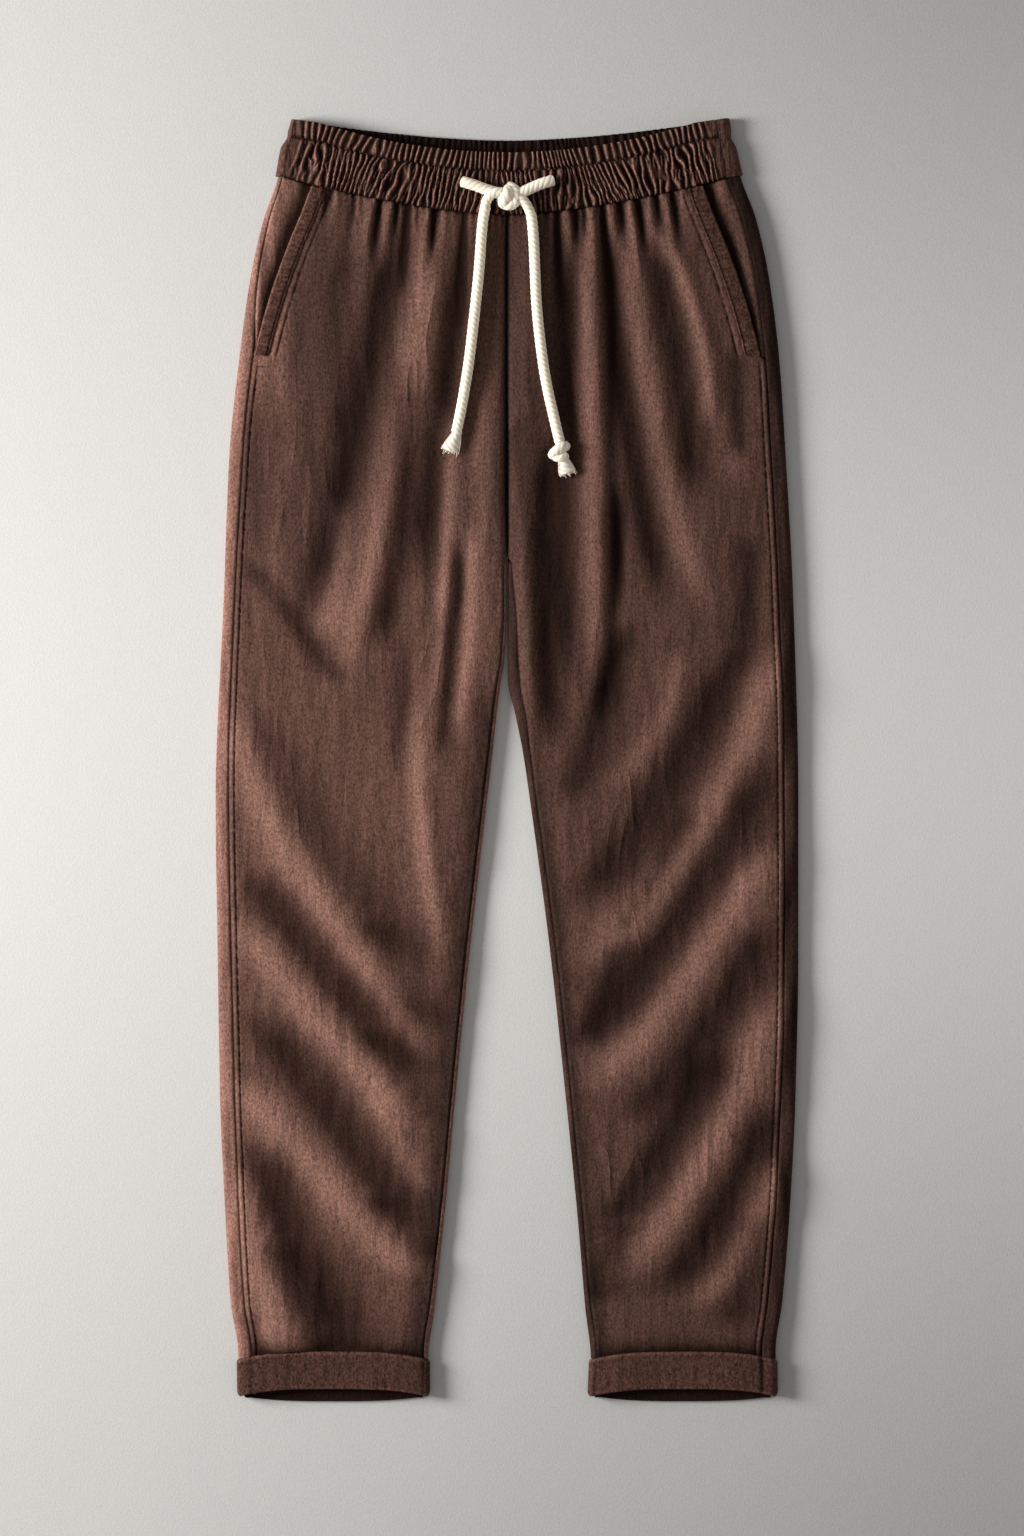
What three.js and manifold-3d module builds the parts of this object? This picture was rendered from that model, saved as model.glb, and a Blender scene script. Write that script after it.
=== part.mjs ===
// Linen drawstring trousers, laid flat with the front up.
// Millimetres. X runs to the wearer's left, Y towards the waist and Z up off the surface
// that the trousers lie on. The origin is the middle of the outline, on that surface.
// "down" is the distance below the waistband's top corners. "across" is the distance from
// the centre line. Side is -1 for the wearer's right and 1 for the wearer's left.
import * as THREE from 'three';
import * as BufferGeometryUtils from 'three/addons/utils/BufferGeometryUtils.js';
import Module from 'manifold-3d';

const wasm = await Module();
wasm.setup();

// Driving sizes
const TOP_Y = 513;
const CLOTH = 1.2;
const BAND_WALL = 2.2;
const CUFF_WALL = 2.4;
const HALF_GAP = 0.15;
const SEAM_GAP = 0.3;
const LEG_END_DOWN = 984;
const POCKET_UNDERLAP = 10;
const POCKET_SINK = 1.8;
const EDGE_BAND_THICK = 0.9;
const GATHERS = 57;
const GATHER_RISE = 1.3;
const GATHER_LEAN = 0.06;
const ROPE = 8;

// How the sides round over: the plan width of the rounding, above and below the fold line
const ROUND_OVER = 5.5;
const SLOPE_IN = 30;
const SHARE_ROUND = 0.75;
const FOLD_LINE = 0.43;
const LEAST_HEIGHT = 3.4;
const CUFF_PROUD = 1.1;
const CUFF_WIDER = 1.5;
const BAND_PROUD = 0.6;
const BAND_SIDE_PROUD = 0.5;
const SEAM_STEP = 1.1;
const CROTCH_WALL = 1.9;
const PLEAT_WIDTH = 4.6;

// Seam and hem of the cuffs
const CUFF_SEAM_MIDDLE = 984.1;
const CUFF_SEAM_SIDE = 990.7;
const FRONT_HEM_MIDDLE = 1014.4;
const HEM_SIDE = 1020.8;
const BACK_HEM_MIDDLE = 1025.4;

// Half widths of the outline and the side seam's distance inside it
const OUTER = [
  { down: -5, right: 170.5, left: 176.5, seamRight: 3, seamLeft: 11.5 },
  { down: 0, right: 171.5, left: 177.2, seamRight: 3, seamLeft: 11.5 },
  { down: 25, right: 179, left: 181.5, seamRight: 3.5, seamLeft: 11.5 },
  { down: 48, right: 183.2, left: 187, seamRight: 4, seamLeft: 12 },
  { down: 81, right: 194.4, left: 199.2, seamRight: 5, seamLeft: 12 },
  { down: 129, right: 205.2, left: 209.6, seamRight: 6.5, seamLeft: 11.5 },
  { down: 193, right: 214, left: 217.6, seamRight: 11, seamLeft: 11.5 },
  { down: 265, right: 221.6, left: 222.4, seamRight: 11, seamLeft: 12 },
  { down: 385, right: 226.4, left: 228.8, seamRight: 9, seamLeft: 12 },
  { down: 545, right: 232.8, left: 232.8, seamRight: 10.5, seamLeft: 11.5 },
  { down: 665, right: 231.2, left: 232.8, seamRight: 11, seamLeft: 11.5 },
  { down: 785, right: 229.2, left: 230.4, seamRight: 12, seamLeft: 12 },
  { down: 865, right: 225.6, left: 226.4, seamRight: 11.5, seamLeft: 12 },
  { down: 945, right: 220.8, left: 220, seamRight: 11, seamLeft: 12 },
  { down: 985, right: 214.8, left: 214.6, seamRight: 10.5, seamLeft: 11.5 },
  { down: 1030, right: 214, left: 215, seamRight: 10.5, seamLeft: 11.5 },
];

// Inner edges of the legs and the inseam's distance outside them
const INNER = [
  { down: 300, right: 0.5, left: 0.5, seamRight: 1.9, seamLeft: 2.8 },
  { down: 357, right: 0.5, left: 0.6, seamRight: 1.9, seamLeft: 3.2 },
  { down: 396, right: 0.6, left: 0.6, seamRight: 2, seamLeft: 6.8 },
  { down: 434, right: 2.4, left: 0.6, seamRight: 2.5, seamLeft: 8.4 },
  { down: 450, right: 5.1, left: 0.9, seamRight: 2.6, seamLeft: 9.4 },
  { down: 476, right: 8.3, left: 6.6, seamRight: 2.7, seamLeft: 8.2 },
  { down: 507, right: 11.6, left: 12.8, seamRight: 2.9, seamLeft: 5.9 },
  { down: 545, right: 16, left: 18.4, seamRight: 3, seamLeft: 5 },
  { down: 665, right: 29.6, left: 34.4, seamRight: 3, seamLeft: 4.8 },
  { down: 785, right: 41.6, left: 47.2, seamRight: 3, seamLeft: 4.5 },
  { down: 865, right: 48.8, left: 55.2, seamRight: 3.2, seamLeft: 4.3 },
  { down: 945, right: 57.6, left: 62.4, seamRight: 3.5, seamLeft: 4 },
  { down: 985, right: 63, left: 67, seamRight: 3.5, seamLeft: 4 },
  { down: 1030, right: 63, left: 65.5, seamRight: 3.5, seamLeft: 4 },
];

// Height of the front over the surface, the arch that the middle adds, and how far the
// centre seam and the inner edges sink, from none to all the way
const HEIGHTS = [
  { down: -5, body: 9.4, arch: 6.4, sunk: 0, lift: 0 },
  { down: 50, body: 9.4, arch: 5.2, sunk: 0, lift: 0 },
  { down: 100, body: 9.6, arch: 3.6, sunk: 0.1, lift: 0 },
  { down: 200, body: 9.6, arch: 1.6, sunk: 0.45, lift: 0 },
  { down: 345, body: 9.4, arch: 0.3, sunk: 1, lift: 0 },
  { down: 450, body: 9.4, arch: 0, sunk: 1, lift: 0 },
  { down: 700, body: 9.2, arch: 0, sunk: 1, lift: 0 },
  { down: 920, body: 9.4, arch: 0, sunk: 1, lift: 0 },
  { down: 984, body: 10, arch: 0, sunk: 1, lift: 1.1 },
  { down: 1030, body: 10, arch: 0, sunk: 1, lift: 1.1 },
];

// Slant pocket mouth, nearly the same on both sides
const POCKET_LINE = [
  { down: 40, across: 150 },
  { down: 52, across: 154.5 },
  { down: 76, across: 163.5 },
  { down: 99, across: 173 },
  { down: 127, across: 183.5 },
  { down: 152, across: 191.5 },
  { down: 184, across: 200 },
  { down: 196, across: 202.6 },
];

// Main creases, each a soft ridge (rise over 0) or trough (rise under 0) along three points
const FOLDS = [
  { side: -1, x0: 108, d0: 78, x1: 126, d1: 161, x2: 148, d2: 268, width: 11, rise: 2.6 },
  { side: -1, x0: 86, d0: 78, x1: 114, d1: 233, x2: 158, d2: 405, width: 13, rise: -3 },
  { side: -1, x0: 52, d0: 84, x1: 86, d1: 281, x2: 126, d2: 445, width: 15, rise: 4.2 },
  { side: -1, x0: 38, d0: 84, x1: 57, d1: 305, x2: 85, d2: 530, width: 11, rise: -3.2 },
  { side: -1, x0: 20, d0: 190, x1: 15, d1: 330, x2: 22, d2: 470, width: 9, rise: 1.6 },
  { side: -1, x0: 44, d0: 345, x1: 50, d1: 425, x2: 60, d2: 540, width: 8, rise: 1.4 },
  { side: -1, x0: 170, d0: 200, x1: 179, d1: 290, x2: 186, d2: 410, width: 13, rise: 2.6 },
  { side: -1, x0: 214, d0: 430, x1: 152, d1: 590, x2: 72, d2: 700, width: 14, rise: 3.2 },
  { side: -1, x0: 198, d0: 430, x1: 139, d1: 568, x2: 60, d2: 676, width: 12, rise: -2.6 },
  { side: -1, x0: 212, d0: 600, x1: 134, d1: 713, x2: 62, d2: 805, width: 14, rise: 3.4 },
  { side: -1, x0: 204, d0: 560, x1: 139, d1: 665, x2: 66, d2: 760, width: 12, rise: -2.8 },
  { side: -1, x0: 212, d0: 728, x1: 135, d1: 833, x2: 72, d2: 922, width: 14, rise: 3.4 },
  { side: -1, x0: 202, d0: 676, x1: 132, d1: 785, x2: 72, d2: 882, width: 12, rise: -2.8 },
  { side: -1, x0: 214, d0: 800, x1: 196, d1: 881, x2: 162, d2: 966, width: 13, rise: 3 },
  { side: -1, x0: 198, d0: 778, x1: 161, d1: 881, x2: 117, d2: 966, width: 12, rise: -3 },
  { side: -1, x0: 205, d0: 918, x1: 199, d1: 941, x2: 190, d2: 972, width: 8, rise: -1.6 },
  { side: 1, x0: 11, d0: 270, x1: 21, d1: 385, x2: 36, d2: 560, width: 9, rise: 2 },
  { side: 1, x0: 53, d0: 90, x1: 47, d1: 241, x2: 50, d2: 460, width: 10, rise: -2.8 },
  { side: 1, x0: 66, d0: 80, x1: 71, d1: 257, x2: 78, d2: 465, width: 11, rise: 3.4 },
  { side: 1, x0: 79, d0: 84, x1: 97, d1: 233, x2: 130, d2: 395, width: 10, rise: -2.8 },
  { side: 1, x0: 97, d0: 80, x1: 120, d1: 233, x2: 166, d2: 405, width: 12, rise: 3 },
  { side: 1, x0: 115, d0: 80, x1: 136, d1: 185, x2: 162, d2: 322, width: 11, rise: -3 },
  { side: 1, x0: 172, d0: 175, x1: 179, d1: 225, x2: 192, d2: 300, width: 13, rise: 2.6 },
  { side: 1, x0: 194, d0: 330, x1: 194, d1: 400, x2: 186, d2: 450, width: 11, rise: -1.8 },
  { side: 1, x0: 186, d0: 430, x1: 118, d1: 573, x2: 54, d2: 664, width: 13, rise: -2.8 },
  { side: 1, x0: 220, d0: 415, x1: 159, d1: 569, x2: 64, d2: 684, width: 15, rise: 3.8 },
  { side: 1, x0: 138, d0: 440, x1: 122, d1: 513, x2: 86, d2: 566, width: 10, rise: 1.8 },
  { side: 1, x0: 101, d0: 425, x1: 78, d1: 497, x2: 52, d2: 580, width: 10, rise: -2.6 },
  { side: 1, x0: 212, d0: 512, x1: 146, d1: 641, x2: 68, d2: 775, width: 12, rise: -3 },
  { side: 1, x0: 217, d0: 585, x1: 149, d1: 701, x2: 72, d2: 812, width: 15, rise: 3.8 },
  { side: 1, x0: 210, d0: 645, x1: 161, d1: 741, x2: 100, d2: 832, width: 12, rise: -2.6 },
  { side: 1, x0: 222, d0: 696, x1: 169, d1: 833, x2: 92, d2: 960, width: 15, rise: 3.8 },
  { side: 1, x0: 170, d0: 752, x1: 132, d1: 833, x2: 80, d2: 922, width: 12, rise: -2.8 },
  { side: 1, x0: 214, d0: 790, x1: 174, d1: 881, x2: 124, d2: 966, width: 12, rise: -2.8 },
  { side: 1, x0: 220, d0: 835, x1: 194, d1: 905, x2: 158, d2: 966, width: 13, rise: 2.8 },
];

// Soft pleats that run from the waist seam into the fronts
const PLEATS = [
  { side: -1, across: 33, reach: 70, rise: 1.5 },
  { side: -1, across: 48, reach: 40, rise: 1.2 },
  { side: -1, across: 62, reach: 85, rise: 1.7 },
  { side: -1, across: 76, reach: 50, rise: 1.4 },
  { side: -1, across: 92, reach: 75, rise: 1.8 },
  { side: -1, across: 106, reach: 45, rise: 1.3 },
  { side: -1, across: 119, reach: 60, rise: 1.6 },
  { side: -1, across: 134, reach: 40, rise: 1.3 },
  { side: 1, across: 37, reach: 45, rise: 1.2 },
  { side: 1, across: 49, reach: 55, rise: 1.4 },
  { side: 1, across: 66, reach: 75, rise: 1.8 },
  { side: 1, across: 82, reach: 50, rise: 1.4 },
  { side: 1, across: 98, reach: 80, rise: 1.8 },
  { side: 1, across: 112, reach: 45, rise: 1.4 },
  { side: 1, across: 126, reach: 60, rise: 1.6 },
  { side: 1, across: 140, reach: 40, rise: 1.3 },
];

// Rows of the panels, from the waist seam to the leg's end. The side seam leaves the pocket
// mouth at POCKET_END_ROW, and the inseams part at LEG_START_ROW.
const POCKET_END_ROW = 201;
const WALL_START_ROW = 318;
const LEG_START_ROW = 352;
const HIP_ROWS = [78.4, 85, 94, 106, 122, 141, 160, 181, POCKET_END_ROW, 218, 240, 265, 292,
  WALL_START_ROW, 335, 348, LEG_START_ROW];
const LEG_ROW_PITCH = 23.6;
const HIP_COLUMNS = 18;
const WAIST_SEAM_COLUMNS = 15;
const LEG_COLUMNS = 14;
const EDGE_COLUMNS = [5.5, 11];
const CENTRE_COLUMNS = [9, 4.5, 1.6];

// Drawstring: the tails' routes, as x, down and height of the rope's middle
const TAIL_ROUTES = {
  right: [
    [-17.2, 70.4, 20.5], [-18.1, 75, 20], [-19, 80.5, 19.3], [-19.8, 88, 18.7],
    [-20.6, 98, 18.2], [-21.4, 110, 17.8], [-22.5, 124, 17.4], [-24, 139, 17],
    [-25.6, 154, 16.7], [-27.3, 169, 16.3], [-29, 184, 16], [-31, 199, 15.6],
    [-33.2, 213, 15.3], [-35.6, 227, 14.9], [-38, 239.5, 14.5], [-40.4, 250.5, 14.1],
  ],
  left: [
    [19.2, 75.8, 20.1], [19.9, 81, 19.4], [20.6, 88, 18.7], [21.2, 96, 18.3],
    [21.7, 106, 17.9], [22.2, 118, 17.6], [22.7, 131, 17.3], [23.4, 145, 17],
    [24.6, 160, 16.6], [26.2, 175, 16.2], [28.1, 190, 15.9], [30.2, 204, 15.6],
    [32.8, 218, 15.1], [35.7, 231, 14.6], [38.7, 244, 14.1], [42, 258, 13.6],
  ],
};

// Small maths
const clamp = (value, low, high) => Math.min(high, Math.max(low, value));
const mix = (a, b, t) => a + (b - a) * t;
const spread = (count) => Array.from({ length: count + 1 }, (unused, index) => index / count);
const smooth = (low, high, value) => {
  const t = clamp((value - low) / (high - low), 0, 1);
  return t * t * (3 - 2 * t);
};

// A smooth curve through two columns of a table, which never overshoots its rows
function curve(table, key, value) {
  const rise = (index) => (table[index + 1][value] - table[index][value])
    / (table[index + 1][key] - table[index][key]);
  const slopes = table.map((row, index) => {
    if (index === 0 || index === table.length - 1) return 0;
    const product = rise(index - 1) * rise(index);
    return product <= 0 ? 0 : 2 * product / (rise(index - 1) + rise(index));
  });
  return (at) => {
    let index = 0;
    while (index < table.length - 2 && at > table[index + 1][key]) index += 1;
    const span = table[index + 1][key] - table[index][key];
    const t = clamp((at - table[index][key]) / span, 0, 1);
    const bend = t * (1 - t) * ((1 - t) * slopes[index] - t * slopes[index + 1]) * span;
    return mix(table[index][value], table[index + 1][value], t * t * (3 - 2 * t)) + bend;
  };
}

const outlineOf = (name) => ({
  outer: curve(OUTER, 'down', name),
  sideSeam: curve(OUTER, 'down', `seam${name[0].toUpperCase()}${name.slice(1)}`),
  inner: curve(INNER, 'down', name),
  inseam: curve(INNER, 'down', `seam${name[0].toUpperCase()}${name.slice(1)}`),
});
const RIGHT_OUTLINE = outlineOf('right');
const LEFT_OUTLINE = outlineOf('left');
const outline = (side) => (side < 0 ? RIGHT_OUTLINE : LEFT_OUTLINE);
const bodyHeight = curve(HEIGHTS, 'down', 'body');
const archHeight = curve(HEIGHTS, 'down', 'arch');
const sunkShare = curve(HEIGHTS, 'down', 'sunk');
const backLift = curve(HEIGHTS, 'down', 'lift');
const pocketAcross = curve(POCKET_LINE, 'down', 'across');
const sideSeamLine = (side) => (down) => outline(side).outer(down) - outline(side).sideSeam(down);
const inseamLine = (side) => (down) => outline(side).inner(down) + outline(side).inseam(down);
const foldLineHeight = (down) => FOLD_LINE * bodyHeight(down);

// Edges and seams that run across, as "down" by "across"
const frontWaistSeam = (across) => 78.4 - 31 * (across / 180) ** 1.6;
const backWaistSeam = (across) => 66 - 18.7 * (across / 180) ** 1.7;
const backTopEdge = (across) => 17.6 * (1 - clamp(across / 177, 0, 1) ** 1.7);
const frontTopEdge = (across) => backTopEdge(across) + 11.2 * (1 - clamp(across / 150, 0, 1) ** 2.5);

function acrossLeg(side, across, middleDown, sideDown) {
  const { outer, inner } = outline(side);
  const middle = (outer(LEG_END_DOWN) + inner(LEG_END_DOWN)) / 2;
  const away = clamp(Math.abs(across - middle) / (outer(LEG_END_DOWN) - middle), 0, 1);
  return mix(middleDown, sideDown, away ** 3.2);
}

// Creases: each one follows a bow through its three points
const creases = FOLDS.map((fold) => {
  const middle = (fold.d1 - fold.d0) / (fold.d2 - fold.d0);
  const bow = (fold.x1 - mix(fold.x0, fold.x2, middle)) / (middle * (1 - middle));
  return { ...fold, bow, length: fold.d2 - fold.d0 };
});

function creaseRise(side, across, down) {
  let rise = 0;
  for (const fold of creases) {
    const t = (down - fold.d0) / fold.length;
    if (fold.side !== side || t <= 0 || t >= 1) continue;
    const centre = mix(fold.x0, fold.x2, t) + fold.bow * t * (1 - t);
    const slope = (fold.x2 - fold.x0 + fold.bow * (1 - 2 * t)) / fold.length;
    const away = (across - centre) / Math.hypot(1, slope) / fold.width;
    rise += fold.rise * Math.min(1, 2.2 * Math.sin(Math.PI * t)) * Math.exp(-away * away);
  }
  return rise;
}

function pleatRise(side, across, down) {
  let rise = 0;
  for (const pleat of PLEATS) {
    const below = down - frontWaistSeam(pleat.across);
    if (pleat.side !== side || below < -8 || below > pleat.reach) continue;
    const centre = pleat.across * (1 + 0.0016 * Math.max(0, below));
    const away = (across - centre) / PLEAT_WIDTH;
    const fade = 1 - smooth(0, pleat.reach, below);
    rise += pleat.rise * fade * Math.exp(-away * away);
  }
  return rise;
}

const roundOver = (away) => {
  const rounded = away >= ROUND_OVER ? 1 : Math.sqrt(1 - (1 - Math.max(0, away) / ROUND_OVER) ** 2);
  const sloped = away >= SLOPE_IN ? 1 : 1 - (1 - Math.max(0, away) / SLOPE_IN) ** 2;
  return mix(sloped, rounded, SHARE_ROUND);
};

// Height of a laid tube's top cloth between its outer and inner edges
function tubeHeight(side, across, down, outer, inner, crease) {
  const low = foldLineHeight(down);
  const arch = archHeight(down) * (1 - clamp(across / outer, 0, 1) ** 2);
  const centre = mix(1, roundOver(across - inner), sunkShare(down));
  return low + (bodyHeight(down) - low + arch + crease) * roundOver(outer - across) * centre;
}

// Top of the front cloth, which never sinks through the back
function frontHeight(side, across, down) {
  const { outer, inner } = outline(side);
  const crease = creaseRise(side, across, down) + pleatRise(side, across, down);
  const underlap = side < 0 ? SEAM_STEP * Math.exp(-((across / 4) ** 2)) * (1 - smooth(290, 340, down)) : 0;
  const height = tubeHeight(side, across, down, outer(down), inner(down), crease) - underlap;
  const over = height - LEAST_HEIGHT;
  return LEAST_HEIGHT + 0.5 * (over + Math.hypot(over, 1));
}

const place = (side, across, down, z) => new THREE.Vector3(side * across, TOP_Y - down, z);

// A point of the front, moved straight out of the cloth by lift
function onFront(side, across, down, lift) {
  const step = 0.4;
  const slope = (dx, dd) => (frontHeight(side, across + dx, down + dd)
    - frontHeight(side, across - dx, down - dd)) / (2 * step);
  const normal = new THREE.Vector3(-side * slope(step, 0), slope(0, step), 1).normalize();
  return place(side, across, down, frontHeight(side, across, down)).addScaledVector(normal, lift);
}

// Rows follow the waist seam at the top and the cuff's seam at the bottom
function rowDown(side, across, row, isBack) {
  const waist = isBack ? backWaistSeam(across) : frontWaistSeam(across);
  const atWaist = (waist - HIP_ROWS[0]) * (1 - smooth(HIP_ROWS[0], 250, row));
  const cuff = isBack ? CUFF_SEAM_SIDE : acrossLeg(side, across, CUFF_SEAM_MIDDLE, CUFF_SEAM_SIDE);
  const atCuff = (cuff - LEG_END_DOWN) * smooth(890, LEG_END_DOWN, row);
  return row + atWaist + atCuff;
}

// The place on a lengthwise line where a row crosses it
function crossing(side, row, line) {
  let down = row;
  for (let pass = 0; pass < 12; pass += 1) down = rowDown(side, line(down), row, false);
  return { across: line(down), down };
}

// Closed solid from rows of points. Each row holds { u, outer, inner }, and neighbouring
// rows are joined in order of u, so they may hold different numbers of points.
function sheetGeometry(rows, flip) {
  const points = [];
  const indices = [];
  const numbered = rows.map((row) => row.map((point) => ({
    u: point.u,
    out: points.push(point.outer) - 1,
    in: points.push(point.inner) - 1,
  })));
  const triangle = (a, b, c) => indices.push(...(flip ? [a, c, b] : [a, b, c]));
  const quad = (a, b, c, d) => {
    triangle(a, b, c);
    triangle(a, c, d);
  };
  for (let index = 0; index + 1 < numbered.length; index += 1) {
    const row = numbered[index];
    const next = numbered[index + 1];
    let i = 0;
    let j = 0;
    while (i + 1 < row.length || j + 1 < next.length) {
      const stepRow = i + 1 < row.length ? row[i + 1].u : Infinity;
      const stepNext = j + 1 < next.length ? next[j + 1].u : Infinity;
      if (stepRow <= stepNext) {
        triangle(row[i].out, next[j].out, row[i + 1].out);
        triangle(row[i].in, row[i + 1].in, next[j].in);
        i += 1;
      } else {
        triangle(row[i].out, next[j].out, next[j + 1].out);
        triangle(row[i].in, next[j + 1].in, next[j].in);
        j += 1;
      }
    }
    quad(row[0].out, row[0].in, next[0].in, next[0].out);
    quad(row.at(-1).out, next.at(-1).out, next.at(-1).in, row.at(-1).in);
  }
  const first = numbered[0];
  for (let i = 0; i + 1 < first.length; i += 1) {
    quad(first[i].out, first[i + 1].out, first[i + 1].in, first[i].in);
  }
  const last = numbered.at(-1);
  for (let i = 0; i + 1 < last.length; i += 1) {
    quad(last[i].out, last[i].in, last[i + 1].in, last[i + 1].out);
  }
  return indexedGeometry(points, indices);
}

// Closed solid from rows of closed loops of { outer, inner } points
function ringGeometry(rows, flip) {
  const points = [];
  const indices = [];
  const numbered = rows.map((row) => row.map((point) => ({
    out: points.push(point.outer) - 1,
    in: points.push(point.inner) - 1,
  })));
  const quad = (a, b, c, d) => indices.push(...(flip ? [a, c, b, a, d, c] : [a, b, c, a, c, d]));
  const count = rows[0].length;
  for (let i = 0; i < count; i += 1) {
    const k = (i + 1) % count;
    for (let index = 0; index + 1 < numbered.length; index += 1) {
      const row = numbered[index];
      const next = numbered[index + 1];
      quad(row[i].out, next[i].out, next[k].out, row[k].out);
      quad(row[i].in, row[k].in, next[k].in, next[i].in);
    }
    const first = numbered[0];
    const last = numbered.at(-1);
    quad(first[i].out, first[k].out, first[k].in, first[i].in);
    quad(last[i].out, last[i].in, last[k].in, last[k].out);
  }
  return indexedGeometry(points, indices);
}

function indexedGeometry(points, indices) {
  const geometry = new THREE.BufferGeometry();
  const flat = points.flatMap((point) => [point.x, point.y, point.z]);
  geometry.setAttribute('position', new THREE.Float32BufferAttribute(flat, 3));
  geometry.setIndex(indices);
  geometry.computeVertexNormals();
  return geometry;
}

const legRowCount = Math.round((LEG_END_DOWN - LEG_START_ROW - 4) / LEG_ROW_PITCH);
const PANEL_ROWS = [
  ...HIP_ROWS,
  ...spread(legRowCount).map((t) => mix(LEG_START_ROW + 4, LEG_END_DOWN, t)),
];

// Front panels
function frontEdges(side, row) {
  const outerLine = row < POCKET_END_ROW ? pocketAcross : sideSeamLine(side);
  const outer = crossing(side, row, outerLine).across;
  const inner = row < LEG_START_ROW ? HALF_GAP : crossing(side, row, inseamLine(side)).across;
  return { outer, inner };
}

// Points across a front row: close together at the pocket edge and at the centre
function frontRow(side, row) {
  const { outer, inner } = frontEdges(side, row);
  const inHips = row <= LEG_START_ROW;
  const edge = inHips ? EDGE_COLUMNS : [];
  const start = outer - (edge.at(-1) ?? 0);
  const stop = inner + CENTRE_COLUMNS[0];
  const between = spread(inHips ? HIP_COLUMNS : LEG_COLUMNS).map((t) => mix(start, stop, t));
  const across = [
    outer,
    ...edge.slice(0, -1).map((inset) => outer - inset),
    ...(inHips ? between : between.slice(1)),
    ...CENTRE_COLUMNS.slice(1).map((inset) => inner + inset),
    inner,
  ];
  return across.map((at) => ({
    u: (outer - at) / (outer - inner),
    across: at,
    down: rowDown(side, at, row, false),
  }));
}

const laidOn = (side, point, low, high) => ({
  u: point.u,
  outer: onFront(side, point.across, point.down, high),
  inner: onFront(side, point.across, point.down, low),
});

function frontPanel(side) {
  const rows = PANEL_ROWS.map((row) => frontRow(side, row).map((point) => laidOn(side, point, -CLOTH, 0)));
  return sheetGeometry(rows, side > 0);
}

// The turned edge of the pocket mouth, laid on the front panel's own points
function pocketEdge(side) {
  const rows = PANEL_ROWS.filter((row) => row > HIP_ROWS[0] && row < POCKET_END_ROW);
  return sheetGeometry(rows.map((row) => frontRow(side, row)
    .slice(0, EDGE_COLUMNS.length + 1)
    .map((point) => laidOn(side, point, SEAM_GAP, SEAM_GAP + EDGE_BAND_THICK))), side > 0);
}

// The piece inside the pocket mouth: level with the front at the side seam, under it beyond
function pocketFacing(side) {
  const rows = PANEL_ROWS.filter((row) => row <= POCKET_END_ROW);
  return sheetGeometry(rows.map((row) => {
    const seam = crossing(side, row, sideSeamLine(side)).across;
    const mouth = crossing(side, row, pocketAcross).across;
    const stop = mouth - POCKET_UNDERLAP;
    const before = Math.max(seam - mouth, 1);
    return [seam, mix(seam, mouth, 0.5), mouth, stop].map((across) => {
      const down = rowDown(side, across, row, false);
      const sink = Math.max(smooth(0, 1, (seam - across) / before), smooth(170, POCKET_END_ROW, row));
      const tuck = clamp((mouth - across) / POCKET_UNDERLAP, 0, 1);
      const low = -POCKET_SINK * sink - tuck;
      return laidOn(side, { u: (seam - across) / (seam - stop), across, down }, low - CLOTH, low);
    });
  }), side > 0);
}

// The back's seam and rows leave the front's at the folded edge and reach their own inside it
const BACK_EASE = 60;
function backDown(side, edge, across, row) {
  const t = (edge.across - foldLineHeight(edge.down) - across) / BACK_EASE;
  return mix(edge.down, rowDown(side, across, row, true), smooth(0, 1, t));
}

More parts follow.
